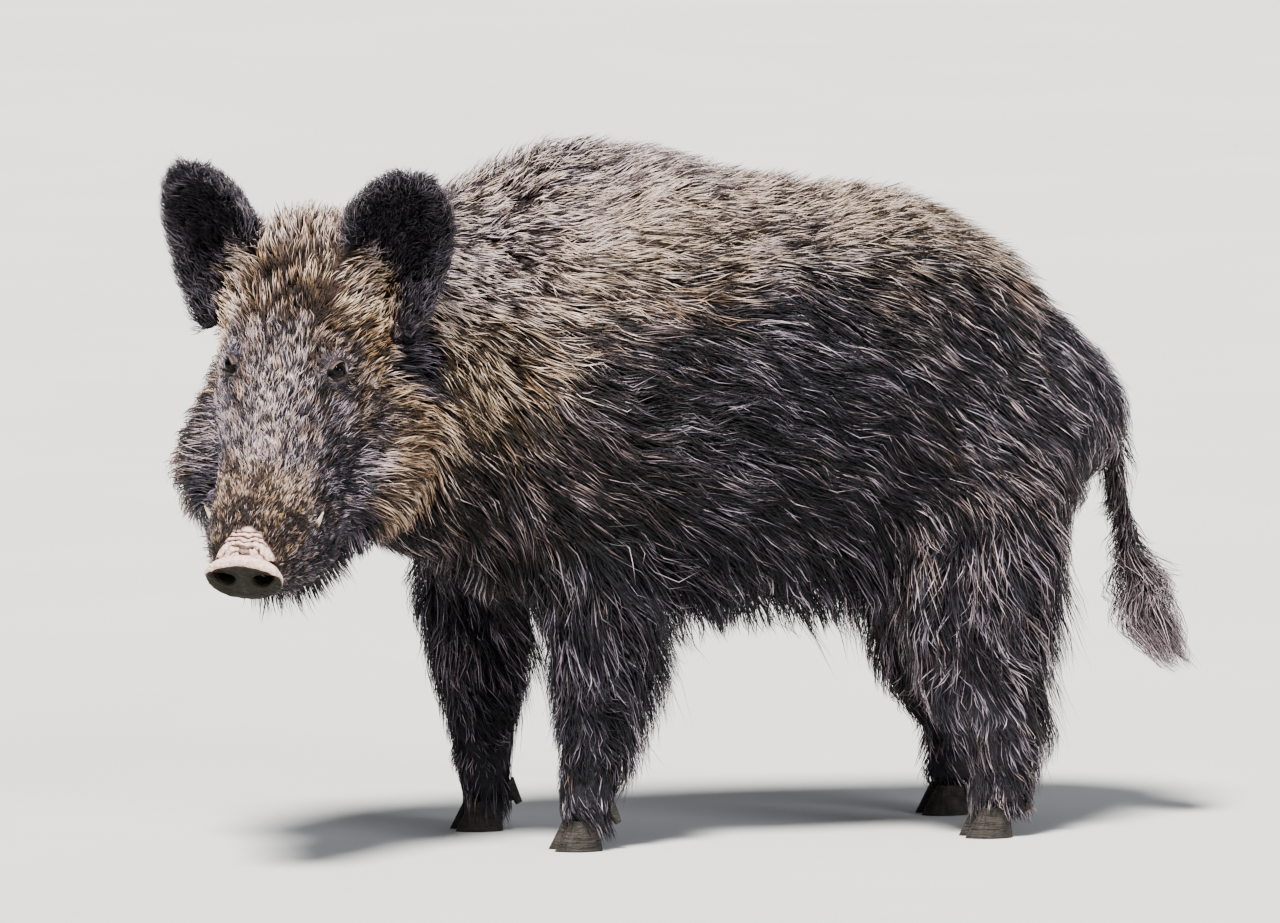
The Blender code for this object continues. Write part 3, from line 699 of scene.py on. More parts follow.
def head_hair(at):
    """Grey face, golden crown and jowls, dark round the eyes and behind the cheek."""
    x, y, z = at.head.T
    ay = np.abs(y)
    blotch = noise(at.p, 0.030, 6)
    fleck = noise(at.p, 0.013, 7)
    tone = np.full(len(x), 0.46) + 0.12 * blotch + 0.08 * fleck
    cool = np.full(len(x), 0.72) + 0.2 * fleck
    crown = ease(x + 0.014 * blotch + 0.008 * fleck, 0.165, 0.112)
    patch = bell(x, 0.080, 0.020) * bell(y, -0.022, 0.022)
    patch = patch + bell(x, 0.112, 0.018) * bell(y, 0.014, 0.030)
    patch = patch + 0.7 * bell(x, 0.132, 0.014) * bell(ay, 0.045, 0.030)
    dark = 1.15 * patch + 0.40 * ease(blotch + 0.6 * fleck, 0.25, 0.7)
    hair = drawn((tone, cool), 0.80 - 0.66 * np.clip(dark, 0, 1), 0.18, crown)
    tone, cool = drawn(hair, 0.92, 0.30, ease(x, 0.060, 0.020) * ease(z, 0.03, 0.06))
    eye = bell(x, 0.170, 0.020) * bell(ay, 0.064, 0.014)
    tear = bell(x, 0.208, 0.024) * bell(ay, 0.050, 0.008)
    under_eye = bell(x, 0.230, 0.040) * bell(ay, 0.078, 0.020) * ease(z, 0.040, 0.015)
    bridge = bell(ay, 0.0, 0.030) * ease(x, 0.17, 0.24) * ease(x, 0.33, 0.28)
    lip = ease(x, 0.29, 0.33) * ease(z, 0.005, -0.025)
    tone = tone + 0.30 * bridge + 0.02 * under_eye - 0.10 * eye - 0.26 * tear
    beside = bell(x, 0.175, 0.022) * bell(ay, 0.038, 0.009)
    beside = beside + ease(ay, 0.066, 0.082) * ease(x, 0.235, 0.20) * ease(z, -0.06, 0.0)
    cool = cool - 0.45 * np.clip(beside, 0, 1)
    # Darker and bluer on the side of the face below the eyes: painted shade.
    side = bell(x, 0.275, 0.045) * ease(ay, 0.050, 0.066)
    tone, cool = tone - 0.13 * side, cool + 0.25 * side
    right = ease(-y, 0.045, 0.075) * ease(x, 0.33, 0.27) * ease(z, -0.075, -0.045)
    tone, cool = tone + 0.16 * right, cool + 0.30 * right
    muzzle = ease(x, 0.300, 0.335) * (1 - lip)
    brown = ease(x, 0.345, 0.380)
    tone, cool = drawn((tone, cool), 0.55 + 0.12 * fleck - 0.27 * brown, 0.30, muzzle)
    tone = blend(tone, 0.30 + 0.14 * fleck, lip)
    cheek = ease(ay, 0.078, 0.100) * ease(x, 0.290, 0.255) * ease(z, -0.005, -0.040)
    golden = cheek * np.where(y > 0, 1.0, ease(ay, 0.10, 0.13))
    hair = drawn((tone, cool), 0.68 + 0.14 * blotch + 0.10 * fleck, 0.05, golden)
    behind = size_of((at.head - (0.085, 0.126, -0.050)) / (1, 1, 1.1))
    tone, cool = drawn(hair, 0.23, 0.9, ease(behind, 0.056, 0.032))
    low = ease(z, -0.075, -0.115) * ease(x, 0.24, 0.31)
    return blend(tone, 0.20, low), cool


def markings(at):
    """Tone and coolness of the hair at each place, the same for skin and coat."""
    head = at.share("head", "snout")
    hair = drawn(body_hair(at), *head_hair(at), head)
    streak = 0.10 * noise(at.p * (1, 1, 0.35), 0.018, 8)
    thigh = ease(at.x, 0.16, 0.30) * ease(at.z, 0.54, 0.40) * (1 - head)
    hair = drawn(hair, 0.37 + streak, 0.75, thigh)
    low = ease(at.z, 0.46, 0.32)
    hair = drawn(hair, 0.18 + streak, 1.0, at.share(*FORE_LEGS) * low)
    hair = drawn(hair, 0.31 + 1.3 * streak, 0.85, at.share(*HIND_LEGS) * low)
    for side in SIDES:
        e = at.ear(side)
        edge = np.clip(ease(np.abs(e[:, 1]), 0.030, 0.055) + ease(e[:, 2], 0.15, 0.195), 0, 1)
        hair = drawn(hair, 0.22 + 0.06 * edge, 0.9, at.share("ear_" + side))
    return drawn(hair, blend(0.26, 0.56, ease(at.z, 0.36, 0.26)), 0.8, at.share("tail"))


# ---- lie of the coat
def flow_field(at):
    """The direction in which the hair lies, along the skin, at each place."""
    x, z = at.x, at.z
    hx, hy, hz = at.head.T
    fall = np.interp(x, (-0.33, -0.20, -0.08, 0.02, 0.16, 0.32, 0.50), (52, 44, 26, 20, 34, 44, 72))
    fall = np.radians(blend(fall, 10, ease(z, 0.60, 0.78) * ease(x, 0.45, 0.25)))
    fall = fall + np.radians(18) * ease(z, 0.42, 0.34) * ease(x, -0.15, 0.0)
    fall = fall + 0.34 * noise(at.p, 0.13, 11) + 0.32 * noise(at.p, 0.05, 12)
    zero = np.zeros_like(x)
    trunk = columns(np.cos(fall), zero, -np.sin(fall))
    sink = np.radians(blend(52, 20, ease(z, 0.50, 0.76))) + 0.30 * noise(at.p, 0.07, 13)
    neck = columns(np.cos(sink), zero, -np.sin(sink))
    spread = ease(np.abs(hy), 0.012, 0.085)
    drop = ease(hz, 0.01, -0.07)
    out = blend(0.30, 0.95, ease(hx, 0.20, 0.08)) * spread
    back = -1.0 + 0.65 * drop * ease(hx, 0.36, 0.25)
    head = columns(back, np.sign(hy) * out, -0.95 * drop * spread)
    for side in SIDES.values():
        away = at.head - np.array(mirrored(EYE_AT, side))
        near = size_of(away)
        head += 2.2 * unit(away) * ease(near, 0.034, 0.018)[:, None]
    head[:, 1] += 0.45 * noise(at.p, 0.04, 14)
    head[:, 0] += 0.25 * noise(at.p, 0.04, 17)
    head = head @ np.array(HEAD)[:3, :3].T
    wander = noise(at.p, 0.05, 15), noise(at.p, 0.05, 16)
    leg = columns(0.10 + 0.30 * wander[0], 0.16 * wander[1], zero - 1)
    total = (at.of("trunk") * trunk.T + at.of("neck") * neck.T + at.head_only * head.T).T
    for name, centre in LEG_AT.items():
        behind = ease(x - centre.x, -0.03, 0.05)
        swept = leg.copy()
        swept[:, 0] += behind * 0.95
        swept[:, 2] = blend(swept[:, 2], -1.2, ease(z, 0.12, 0.07))
        total += at.of(name)[:, None] * swept
    for side, sign in SIDES.items():
        e = at.ear(side)
        fan = columns(zero, 1.5 * e[:, 1] / EAR_HALF_WIDTH, zero + 0.8)
        turn = np.array(ear_matrix(sign))[:3, :3]
        total += at.of("ear_" + side)[:, None] * (fan @ turn.T)
    total += at.of("tail")[:, None] * unit(np.array(TAIL[5] - TAIL[1]))
    return total


def along_skin(vectors, normals):
    """Directions laid flat on the skin."""
    return unit(vectors - normals * dot(vectors, normals))


FLOW = along_skin(flow_field(SKIN_AT), SKIN_NORMALS)
FLOW = along_skin(relaxed(FLOW, SKIN_EDGES, 4), SKIN_NORMALS)


def hair_length(at):
    """Longest under the belly, at the jowls and behind the legs, shortest at the eyes."""
    hx, _, hz = at.head.T
    trunk = blend(0.072, 0.033, ease(at.z, 0.58, 0.76))
    belly = ease(at.z, 0.42, 0.33)
    ragged = noise(at.p, 0.045, 18) + 0.6 * noise(at.p, 0.020, 19)
    trunk = blend(trunk, 0.088 + 0.055 * ragged, belly)
    sheath = bell(at.x, 0.150, 0.028) * bell(at.y, 0, 0.04) * belly
    trunk = trunk + 0.085 * sheath
    neck = blend(0.055, 0.030, ease(at.z, 0.50, 0.68))
    ruff = ease(hx, 0.32, 0.21) * ease(hz, -0.01, -0.07)
    face = blend(0.0170, 0.0100, ease(hx, 0.26, 0.38))
    face = blend(face, 0.019, ease(hx, 0.16, 0.11))
    face = blend(face, 0.046, ruff)
    chin = ease(hz, -0.070, -0.105) * ease(hx, 0.22, 0.28)
    face = blend(face, 0.044 + 0.016 * ragged, chin)
    face = face * blend(0.30, 1.0, ease(from_eyes(at.head), 0.0135, 0.038))
    leg = blend(0.034, 0.060, ease(at.z, 0.08, 0.30)) * (1 + 0.25 * ragged)
    for centre in LEG_AT.values():
        behind = ease(at.x - centre.x, 0.0, 0.045) * ease(at.z, 0.07, 0.14)
        near = np.hypot(at.p[:, 0] - centre.x, at.p[:, 1] - centre.y) < 0.14
        leg = leg + (0.044 + 0.022 * bell(at.z, 0.30, 0.08)) * behind * near
    ear = np.full(len(hx), 0.017)
    for side in SIDES:
        e = at.ear(side)
        edge = ease(np.abs(e[:, 1]), 0.036, 0.056) + ease(e[:, 2], 0.165, 0.195)
        ear = ear + 0.013 * np.clip(edge, 0, 1) * at.of("ear_" + side)
    return at.mixed(trunk=trunk, neck=neck, head=face, leg=leg, ear=ear, tail=0.020)


def hang(at):
    """How freely the hair hangs, 0 where it lies on the skin to 1 where it drops."""
    under = ease(-SKIN_NORMALS[:, 2], 0.25, 0.85)
    belly = at.share("trunk") * under * ease(at.z, 0.48, 0.36)
    hx, _, hz = at.head.T
    jowl = ease(hz, -0.085, -0.13) * ease(hx, 0.10, 0.17)
    jowl = jowl + ease(hz, -0.075, -0.110) * ease(hx, 0.22, 0.28)
    jowl = np.clip(jowl, 0, 1) * at.share("head", "snout")
    legs = np.zeros_like(hx)
    for name, centre in LEG_AT.items():
        behind = ease(at.x - centre.x, 0.015, 0.055) * ease(at.z, 0.07, 0.14)
        behind = np.maximum(0.75 * behind, 0.95 * ease(at.z, 0.085, 0.055))
        legs += at.share(name) * behind
    return np.clip(0.85 * belly + 0.85 * jowl + legs, 0, 1)


DEPTH = np.maximum(coat_depth(SKIN_AT), 0.0016)
LENGTH = hair_length(SKIN_AT)
HANG = hang(SKIN_AT)
TONE, COOLNESS = markings(SKIN_AT)


# ---- coat
skin.data.calc_loop_triangles()
corners = np.zeros(len(skin.data.loop_triangles) * 3, np.int32)  # three to a triangle
skin.data.loop_triangles.foreach_get("vertices", corners)
TRIS = corners.reshape(-1, 3)
SKIN_TREE = BVHTree.FromPolygons(
    SKIN_POINTS.tolist(), TRIS.tolist(), all_triangles=True, epsilon=0.0
)
TRI_POINTS = SKIN_POINTS[TRIS]
TRI_AREA = 0.5 * np.linalg.norm(
    np.cross(TRI_POINTS[:, 1] - TRI_POINTS[:, 0], TRI_POINTS[:, 2] - TRI_POINTS[:, 0]), axis=1
)
TRI_PLACES = Places(TRI_POINTS.mean(axis=1), SKIN_AT.w[TRIS].mean(axis=1))
DENSITY_SCALE = 1.0
FLATNESS = 0.55  # a tuft's height off the skin against its width
ROOT_SUNK = 0.0012  # how far the roots start inside the skin
LOCK_REACH = 0.04  # a leader's pull fades over this distance
UV_PATCH = 0.003  # side of a tuft's own patch on the map OFBake


def at_faces(values, faces):
    return values[TRIS[faces]].mean(axis=1)


def on_skin(points):
    """The nearest skin to each point: its place, smooth normal and face."""
    found = [SKIN_TREE.find_nearest(p) for p in points.tolist()]
    where = np.array([f[0] for f in found])
    face = np.array([f[2] for f in found])
    return where, unit(at_faces(SKIN_NORMALS, face)), face


def scattered(share, count):
    """Random spots on the skin, thickest where the share is greatest."""
    weight = TRI_AREA * np.maximum(share, 0)
    face = RNG.choice(len(TRIS), int(count * DENSITY_SCALE), p=weight / weight.sum())
    a, b = RNG.random((2, len(face), 1))
    fold = a + b > 1
    a, b = np.where(fold, 1 - a, a), np.where(fold, 1 - b, b)
    p = TRI_POINTS[face]
    return p[:, 0] + a * (p[:, 1] - p[:, 0]) + b * (p[:, 2] - p[:, 0]), face


def turned(vectors, axis, angle):
    c, s = np.cos(angle)[:, None], np.sin(angle)[:, None]
    return vectors * c + np.cross(axis, vectors) * s


def grown(root, face, segments, stray, lift, longer):
    """Paths of hair from the roots, (tufts, segments + 1, 3), and their outward sides."""
    count = len(root)
    length = longer * at_faces(LENGTH, face)
    length = length * (1 + 0.22 * RNG.standard_normal(count)).clip(0.5, 1.5)
    top = at_faces(DEPTH, face) * RNG.uniform(0.45, 1.12, count) * lift
    loose = at_faces(HANG, face)
    sway = stray * RNG.standard_normal(count)
    normal = unit(at_faces(SKIN_NORMALS, face))
    path, outs = [root - normal * ROOT_SUNK], [normal]
    here = root
    step = (length / segments)[:, None]
    drift = columns(noise(root, 0.03, 71), noise(root, 0.03, 72), np.zeros(count))
    heading = turned(along_skin(at_faces(FLOW, face), normal), normal, sway)
    for k in range(1, segments + 1):
        t = k / segments
        lie = turned(along_skin(at_faces(FLOW, face), normal), normal, sway)
        heading = unit(0.55 * heading + 0.45 * lie)
        free = (loose * ease(np.full(count, t), 0.0, 0.7))[:, None]
        fall = np.array([0.22, 0, -1.0]) + 0.45 * normal + 0.40 * drift
        move = unit(blend(heading, fall, free))
        spot = here + move * step
        near, normal, face = on_skin(spot)
        height = dot(spot - near, normal)
        rise = top[:, None] * (1 - (1 - t) ** 1.6)
        wanted = blend(rise, np.maximum(height, 0.25 * rise), free)
        spot = spot + normal * (wanted - height)
        path.append(spot)
        outs.append(normal)
        here = spot
    return np.stack(path, axis=1), np.stack(outs, axis=1)


def clumped(path, pull, every):
    """Draws the tips of neighbouring tufts into locks. Also gives each one's leader."""
    count = len(path)
    leaders = np.arange(0, count, every)
    tree = KDTree(len(leaders))
    for i, k in enumerate(leaders):
        tree.insert(path[k, 0], i)
    tree.balance()
    leader = leaders[[tree.find(p)[1] for p in path[:, 0].tolist()]]
    t = np.linspace(0, 1, path.shape[1])[None, :, None]
    strength = pull * RNG.uniform(0.5, 1.3, (count, 1, 1))
    gap = path[leader] - path
    near = size_of(gap[:, 0])[:, None, None]
    return path + gap * np.minimum(strength * t**1.4, 0.95) * np.exp(-near / LOCK_REACH), leader


def waved(path, size, amount, seed):
    """Bends each tuft a little, more towards its tip."""
    count, points, _ = path.shape
    flat = path.reshape(-1, 3) + np.repeat(RNG.uniform(-0.01, 0.01, (count, 3)), points, axis=0)
    shift = np.stack([noise(flat, size, seed + k) for k in range(3)], axis=1)
    t = np.linspace(0, 1, points)[None, :, None]
    return path + amount * t * shift.reshape(path.shape)


def strands(name, path, outs, width, uv, root_colour, tip_colour):
    """One mesh of closed, tapering, three-sided hairs along the paths."""
    count, points, _ = path.shape
    last = points - 1
    along = unit(np.gradient(path, axis=1))
    out = unit(outs - along * dot(outs, along))
    side = np.cross(along, out)
    t = np.linspace(0, 1, points)
    taper = np.interp(t, (0, 0.25, 0.7, 1), (0.75, 1.0, 0.72, 0.0))[None, :, None]
    radius = np.asarray(width).reshape(-1, 1, 1) * 0.5 * taper
    spin = RNG.uniform(-0.6, 0.6, (count, 1, 1))
    rings = []
    for i in range(3):
        angle = math.pi / 2 + 2 * math.pi * i / 3 + spin
        rings.append(path + radius * (np.cos(angle) * side + FLATNESS * np.sin(angle) * out))
    body = np.stack(rings, axis=2)[:, :last].reshape(count, last * 3, 3)
    verts = np.concatenate([body, path[:, last:]], axis=1)
    each = last * 3 + 1
    faces = [[0, 1, 2]]
    for k in range(last - 1):
        for i in range(3):
            j = (i + 1) % 3
            faces.append([k * 3 + i, (k + 1) * 3 + i, (k + 1) * 3 + j, k * 3 + j])
    for i in range(3):
        faces.append([(last - 1) * 3 + i, each - 1, (last - 1) * 3 + (i + 1) % 3])
    sizes = np.array([len(f) for f in faces])
    flat_faces = np.concatenate([np.array(f) for f in faces])
    loops = (flat_faces[None, :] + np.arange(count)[:, None] * each).ravel()
    mesh = bpy.data.meshes.new(name)
    mesh.vertices.add(count * each)
    store(mesh.vertices, "co", verts)
    mesh.loops.add(len(loops))
    store(mesh.loops, "vertex_index", loops, np.int32)
    totals = np.tile(sizes, count)
    starts = np.concatenate([[0], np.cumsum(totals)[:-1]])
    mesh.polygons.add(len(totals))
    store(mesh.polygons, "loop_start", starts, np.int32)
    store(mesh.polygons, "loop_total", totals, np.int32)
    store(mesh.polygons, "use_smooth", np.ones(len(totals)), bool)
    mesh.update(calc_edges=True)
    ring_of = np.concatenate([np.repeat(np.arange(last), 3), [last]]) / last
    around = np.concatenate([np.tile(np.arange(3) / 2, last), [0.5]])
    patch = columns(around, ring_of) * UV_PATCH
    spots = uv[:, None, :] * (1 - 2 * UV_PATCH) + patch[None]
    layer = mesh.uv_layers.new(name="OFBake")
    store(layer.data, "uv", spots.reshape(-1, 2)[loops])
    mix_in = ease(ring_of, 0.10, 0.85)[None, :, None]
    paint(mesh, "coat", blend(root_colour[:, None], tip_colour[:, None], mix_in))
    return object_of(name, mesh)


def round_axis(a, b, v, low, high):
    """Unwraps a form round its own axis: the turn about it, then the way along it."""
    u = np.arctan2(a, b) / (2 * math.pi) + 0.5
    return columns(u, np.clip((v - low) / (high - low), 0, 1))


def unwrap(at, kind):
    """The place of each root on an unwrap of the skin's own shape."""
    if kind == "body":
        return round_axis(at.y, at.z - 0.53, at.x, -0.50, 0.57)
    if kind == "head":
        x, y, z = at.head.T
        return round_axis(y, z + 0.04, x, -0.10, 0.46)
    if kind == "ears":
        left = at.of(EARS[0]) > at.of(EARS[1])
        e = np.where(left[:, None], at.ear("left"), at.ear("right"))
        u = (e[:, 1] / EAR_HALF_WIDTH + 1.2) / 2.4
        bow = EAR_BOW * np.sin(np.pi * np.clip(e[:, 2] / EAR_LENGTH, 0, 1))
        from_edge = EAR_HALF_WIDTH - np.abs(e[:, 1])
        front = e[:, 0] > -bow - 0.25 * from_edge**2 / EAR_HALF_WIDTH
        u = (np.clip(u, 0, 1) + front) / 2
        v = (np.clip(e[:, 2] / (EAR_LENGTH * 1.1), 0, 1) + left) / 2
        return columns(u, v)
    if kind == "tail":
        middle_x = np.interp(-at.z, [-p.z for p in TAIL], [p.x for p in TAIL])
        return round_axis(at.y, at.x - middle_x, at.z, 0.14, 0.52)
    left, right = (LEG_AT[f"leg_{kind}_{side}"] for side in SIDES)
    is_left = np.abs(at.p[:, 1] - left.y) < np.abs(at.p[:, 1] - right.y)
    cx = np.where(is_left, left.x, right.x)
    cy = np.where(is_left, left.y, right.y)
    found = round_axis(at.p[:, 1] - cy, at.x - cx, at.z, 0.02, 0.60)
    found[:, 0] = (found[:, 0] + is_left) / 2
    return found


def coat(
    name, share, count, segments, width, kind, pull, every=7,
    *, wave, light, dark, lift=1.0, stray=0.16, longer=1.0,
):
    """Grows one piece of the coat where the share of each skin face is above zero.

    The darker the place, the more of its locks are dark. Light is how far the bright
    ones rise towards cream and how much they differ, and dark is the extra share of
    dark locks and what they keep of their tone.
    """
    root, face = scattered(share, count)
    path, outs = grown(root, face, segments, stray, lift, longer)
    path, leader = clumped(path, pull, every)
    path = waved(path, *wave, 31)
    path[..., 2] = np.maximum(path[..., 2], FLOOR_GAP)
    at = Places(root, at_faces(SKIN_AT.w, face))
    tone, cool = at_faces(TONE, face), at_faces(COOLNESS, face)
    number = len(root)
    chance = 0.65 * RNG.random(number)[leader] + 0.35 * RNG.random(number)
    chance = chance + 0.10 * noise(root, 0.022, 21)
    shift = 0.7 * RNG.standard_normal(number)[leader] + 0.5 * RNG.standard_normal(number)
    share_dark = np.interp(tone, (0.05, 0.30, 0.60, 0.90), (0.66, 0.60, 0.42, 0.28)) + dark[0]
    is_dark = chance < 0.5 + (share_dark - 0.5) * 0.62
    bright = tone + light[0] * (1 - tone) * (0.35 + tone) * (1 + light[1] * shift)
    gloomy = tone * (dark[1] + 0.15 * tone) * (1 + 0.3 * shift)
    tip = np.where(is_dark, gloomy, bright)
    # Dark roots: the hair's own colour, and painted shade in the gaps between locks.
    # The cubed tone lightens the roots where the coat is brightest, as painted light on the back.
    base = 0.12 * tone + 0.12 * tone**3 + 0.02 * shift
    size = np.interp(at_faces(LENGTH, face), (0.008, 0.02, 0.05), (0.70, 0.85, 1.0))
    widths = width * size * RNG.uniform(0.7, 1.25, number)
    cool = cool + 0.16 * RNG.standard_normal(number)[leader] + 0.06 * shift
    hue = hair_colour(base, cool), hair_colour(tip, cool)
    COATS.append(strands(name, path, outs, widths, unwrap(at, kind), *hue))


COATS = []
BACK_FROM, BELLY_TO, RUMP_FROM = 0.665, 0.385, 0.30  # where the trunk's pieces part


def head_bare():
    """Where the head grows no hair: lids, nostrils, disc and the bare snout."""
    p = TRI_PLACES.head
    bare = np.maximum(bare_snout(p), ease(from_eyes(p), 0.0147, 0.0138))
    return np.maximum(bare, ease(disc_frame(p)[0], -0.0065, -0.0045))


def grow_coat():
    """Every piece of the coat but the tail's, each with its own share of the skin."""
    t = TRI_PLACES
    head = t.share("head", "snout") * (1 - head_bare()) * (t.head_only > 0.5)
    hx, hy, hz = t.head.T
    front = ease(hx, 0.12, 0.16) * ease(hz + 0.25 * np.abs(hy), -0.06, -0.02)
    ruff = head * (front < 0.5)
    face = head * (front >= 0.5) * blend(1.0, 1.5, ease(hx, 0.25, 0.35))
    short = {"wave": (0.012, 0.0024), "light": (0.50, 0.8), "dark": (0.03, 0.24)}
    coat("coat_face", face, 19600, 2, 0.0018, "head", 0.55, 6, stray=0.34, lift=1.35, **short)
    long = {"wave": (0.020, 0.0050), "light": (0.38, 0.8), "dark": (-0.05, 0.30)}
    coat("coat_cheeks", ruff, 11000, 3, 0.0019, "head", 0.60, 6, stray=0.25, lift=1.35, **long)
    trunk = t.share("trunk") * (t.of("trunk") > 0.5)
    neck = t.share("neck") * (t.of("neck") >= 0.34)
    neck = neck * (t.of("trunk") <= 0.5) * (t.of("head") <= 0.5)
    top = trunk * (t.z > BACK_FROM)
    rump = trunk * (t.z <= BACK_FROM) * (t.x > RUMP_FROM)
    belly = trunk * (t.z < BELLY_TO) * (t.x <= RUMP_FROM)
    flank = trunk * (t.z <= BACK_FROM) * (t.z >= BELLY_TO) * (t.x <= RUMP_FROM)
    # Bright locks on the neck and back rise far towards cream, partly as painted light from above.
    tan = {"wave": (0.020, 0.0035), "light": (1.2, 0.5), "dark": (0.13, 0.14)}
    coat("coat_neck", neck, 14500, 2, 0.0021, "body", 0.60, 5, lift=1.4, stray=0.24, **tan)
    cream = {**tan, "light": (1.9, 0.45), "dark": (0.05, 0.14)}
    coat("coat_back", top, 16500, 2, 0.0021, "body", 0.60, 5, lift=1.4, stray=0.26, **cream)
    # The sable locks' light tips are partly painted highlights of light glancing off glossy flank
    # hair.
    sable = {"wave": (0.030, 0.012), "light": (0.70, 0.8), "dark": (0.08, 0.20), "every": 4}
    for side, count in (("left", 11000), ("right", 7500)):
        share = flank * (t.y * SIDES[side] < 0)  # the left side is along -Y
        coat(f"coat_flank_{side}", share, count, 3, 0.0017, "body", 0.75, **sable)
    coat("coat_rump", rump, 6800, 3, 0.0018, "body", 0.75, **sable)
    fringe = {**sable, "wave": (0.045, 0.022)}
    coat("coat_belly", belly, 3200, 4, 0.0022, "body", 0.80, stray=0.35, **fringe)
    shaggy = {**sable, "wave": (0.032, 0.015), "light": (0.60, 0.8), "dark": (0.0, 0.30)}
    for kind, names in (("fore", FORE_LEGS), ("hind", HIND_LEGS)):
        legs = sum(t.share(name) * (t.of(name) >= 0.5) for name in names)
        legs = legs * (t.z > 0.039) * blend(1.8, 1.0, ease(t.z, 0.06, 0.12))
        coat(f"coat_legs_{kind}", legs, 6800, 3, 0.0018, kind, 0.65, stray=0.28, lift=1.3, **shaggy)
    ears = t.share(*EARS) * (t.of(*EARS) >= 0.5)
    fuzz = {"wave": (0.012, 0.005), "light": (0.16, 0.9), "dark": (-0.10, 0.45), "longer": 1.25}
    coat("coat_ears", ears, 9800, 2, 0.0015, "ears", 0.40, 5, lift=4.0, stray=0.45, **fuzz)
    chin = head * ease(hx, 0.30, 0.34) * ease(hx, 0.43, 0.42) * ease(hz, -0.03, -0.07)
    brow = head * bell(from_eyes(t.head), 0.024, 0.006) * ease(hz, 0.045, 0.052)
    stiff = {"wave": (0.03, 0.011), "light": (0.1, 0.5), "dark": (0.4, 0.2), "longer": 1.35}
    coat("coat_whiskers", chin + 0.5 * brow, 620, 4, 0.0014, "head", 0.0, lift=1.6, **stiff)


grow_coat()


def on_line(s, run, knots):
    """Points at the distances s along a line through knots."""
    return np.stack([np.interp(s, run, knots[:, k]) for k in range(3)], axis=1)


def grow_tail():
    """Short hair down the tail, then a long tassel blown a little backwards."""
    places = TRI_PLACES
    tail = places.share("tail") * (places.of("tail") > 0.4)
    root, face = scattered(tail * blend(1.0, 2.2, ease(places.z, 0.36, 0.30)), 1700)
    segments = 5
    knots = np.array([tuple(p) for p in TAIL])
    run = np.concatenate([[0], np.cumsum(size_of(np.diff(knots, axis=0)))])
    start = np.interp(-root[:, 2], -knots[:, 2], run)
    tassel = ease(start, run[3], run[6])
    length = blend(0.026, 0.115, tassel) * RNG.uniform(0.65, 1.15, len(root))
    end = np.minimum(start + length, run[-1] * RNG.uniform(0.86, 1.0, len(root)))
    radial = root - on_line(start, run, knots)
    reach = np.linalg.norm(radial, axis=1, keepdims=True)
    radial = unit(radial)
    spread = np.interp(np.arange(len(run)), *TASSEL_WIDTHS)
    fill = RNG.uniform(0.15, 1.0, (len(root), 1))
    path = []
    for k in range(segments + 1):
        t = k / segments
        s = blend(start, end, t)
        wide = np.interp(s, run, spread)[:, None] * fill
        wide = blend(reach * 0.9, np.maximum(wide, reach * (1 - t)), ease(t, 0, 0.6))
        path.append(on_line(s, run, knots) + radial * wide)
    path, _ = clumped(np.stack(path, axis=1), 0.6, 7)
    path = waved(waved(path, 0.045, 0.026, 41), 0.018, 0.010, 47)
    outs = np.repeat(radial[:, None], segments + 1, axis=1)
    at = Places(root, at_faces(SKIN_AT.w, face))
    tone = blend(0.36, 0.54, tassel) + 0.24 * RNG.standard_normal(len(root))
    cool = np.full(len(root), 0.75)
    widths = 0.0017 * RNG.uniform(0.7, 1.2, len(root))
    hue = hair_colour(0.3 * tone, cool), hair_colour(tone, cool)
    COATS.append(strands("coat_tail", path, outs, widths, unwrap(at, "tail"), *hue))


grow_tail()


# ---- materials
def nodes_of(name, roughness, specular):
    made = bpy.data.materials.new(name)
    made.use_nodes = True
    tree = made.node_tree
    shader = tree.nodes["Principled BSDF"]
    shader.inputs["Roughness"].default_value = roughness
    shader.inputs["Specular IOR Level"].default_value = specular
    return made, tree, shader


def add(tree, kind, inputs=(), **settings):
    node = tree.nodes.new(kind)
    for key, value in settings.items():
        setattr(node, key, value)
    for key, value in dict(inputs).items():
        if isinstance(value, bpy.types.NodeSocket):
            tree.links.new(value, node.inputs[key])
        else:
            node.inputs[key].default_value = value
    return node


def grey_of(tree, shade):
    grey = add(tree, "ShaderNodeCombineColor", {0: shade, 1: shade, 2: shade})
    return grey.outputs["Color"]


def mapped(tree, value, span, onto):
    """A value spread from one range onto another."""
    ends = dict(zip(("From Min", "From Max", "To Min", "To Max"), (*span, *onto)))
    return add(tree, "ShaderNodeMapRange", {"Value": value, **ends}).outputs["Result"]


def wandering(tree, scale, low, high, detail=4.0, stretch=None):
    """A noise texture in the object's own space, spread between two values."""
    where = add(tree, "ShaderNodeTexCoord").outputs["Object"]
    if stretch:
        where = add(tree, "ShaderNodeMapping", {"Vector": where, **stretch}).outputs["Vector"]
    cloud = add(tree, "ShaderNodeTexNoise", {"Vector": where, "Scale": scale, "Detail": detail})
    return mapped(tree, cloud.outputs["Fac"], (0.3, 0.7), (low, high))


def painted(tree, shader, attribute, scale, low, high):
    """Base colour from a painted attribute, lightened and darkened by fine noise."""
    paint = add(tree, "ShaderNodeAttribute", attribute_name=attribute)
    shade = wandering(tree, scale, low, high)
    mixed = add(tree, "ShaderNodeMix", data_type="RGBA", blend_type="MULTIPLY")
    mixed.inputs["Factor"].default_value = 1.0
    tree.links.new(paint.outputs["Color"], mixed.inputs[6])
    tree.links.new(grey_of(tree, shade), mixed.inputs[7])
    tree.links.new(mixed.outputs[2], shader.inputs["Base Color"])


def ramped(tree, shader, cloud, *srgb):
    """Base colour between two sRGB colours, by a cloud of noise."""
    ramp = add(tree, "ShaderNodeValToRGB", {"Fac": cloud})
    for end, colour in zip(ramp.color_ramp.elements, srgb):
        end.color = (*linear(*colour), 1)
    tree.links.new(ramp.outputs["Color"], shader.inputs["Base Color"])


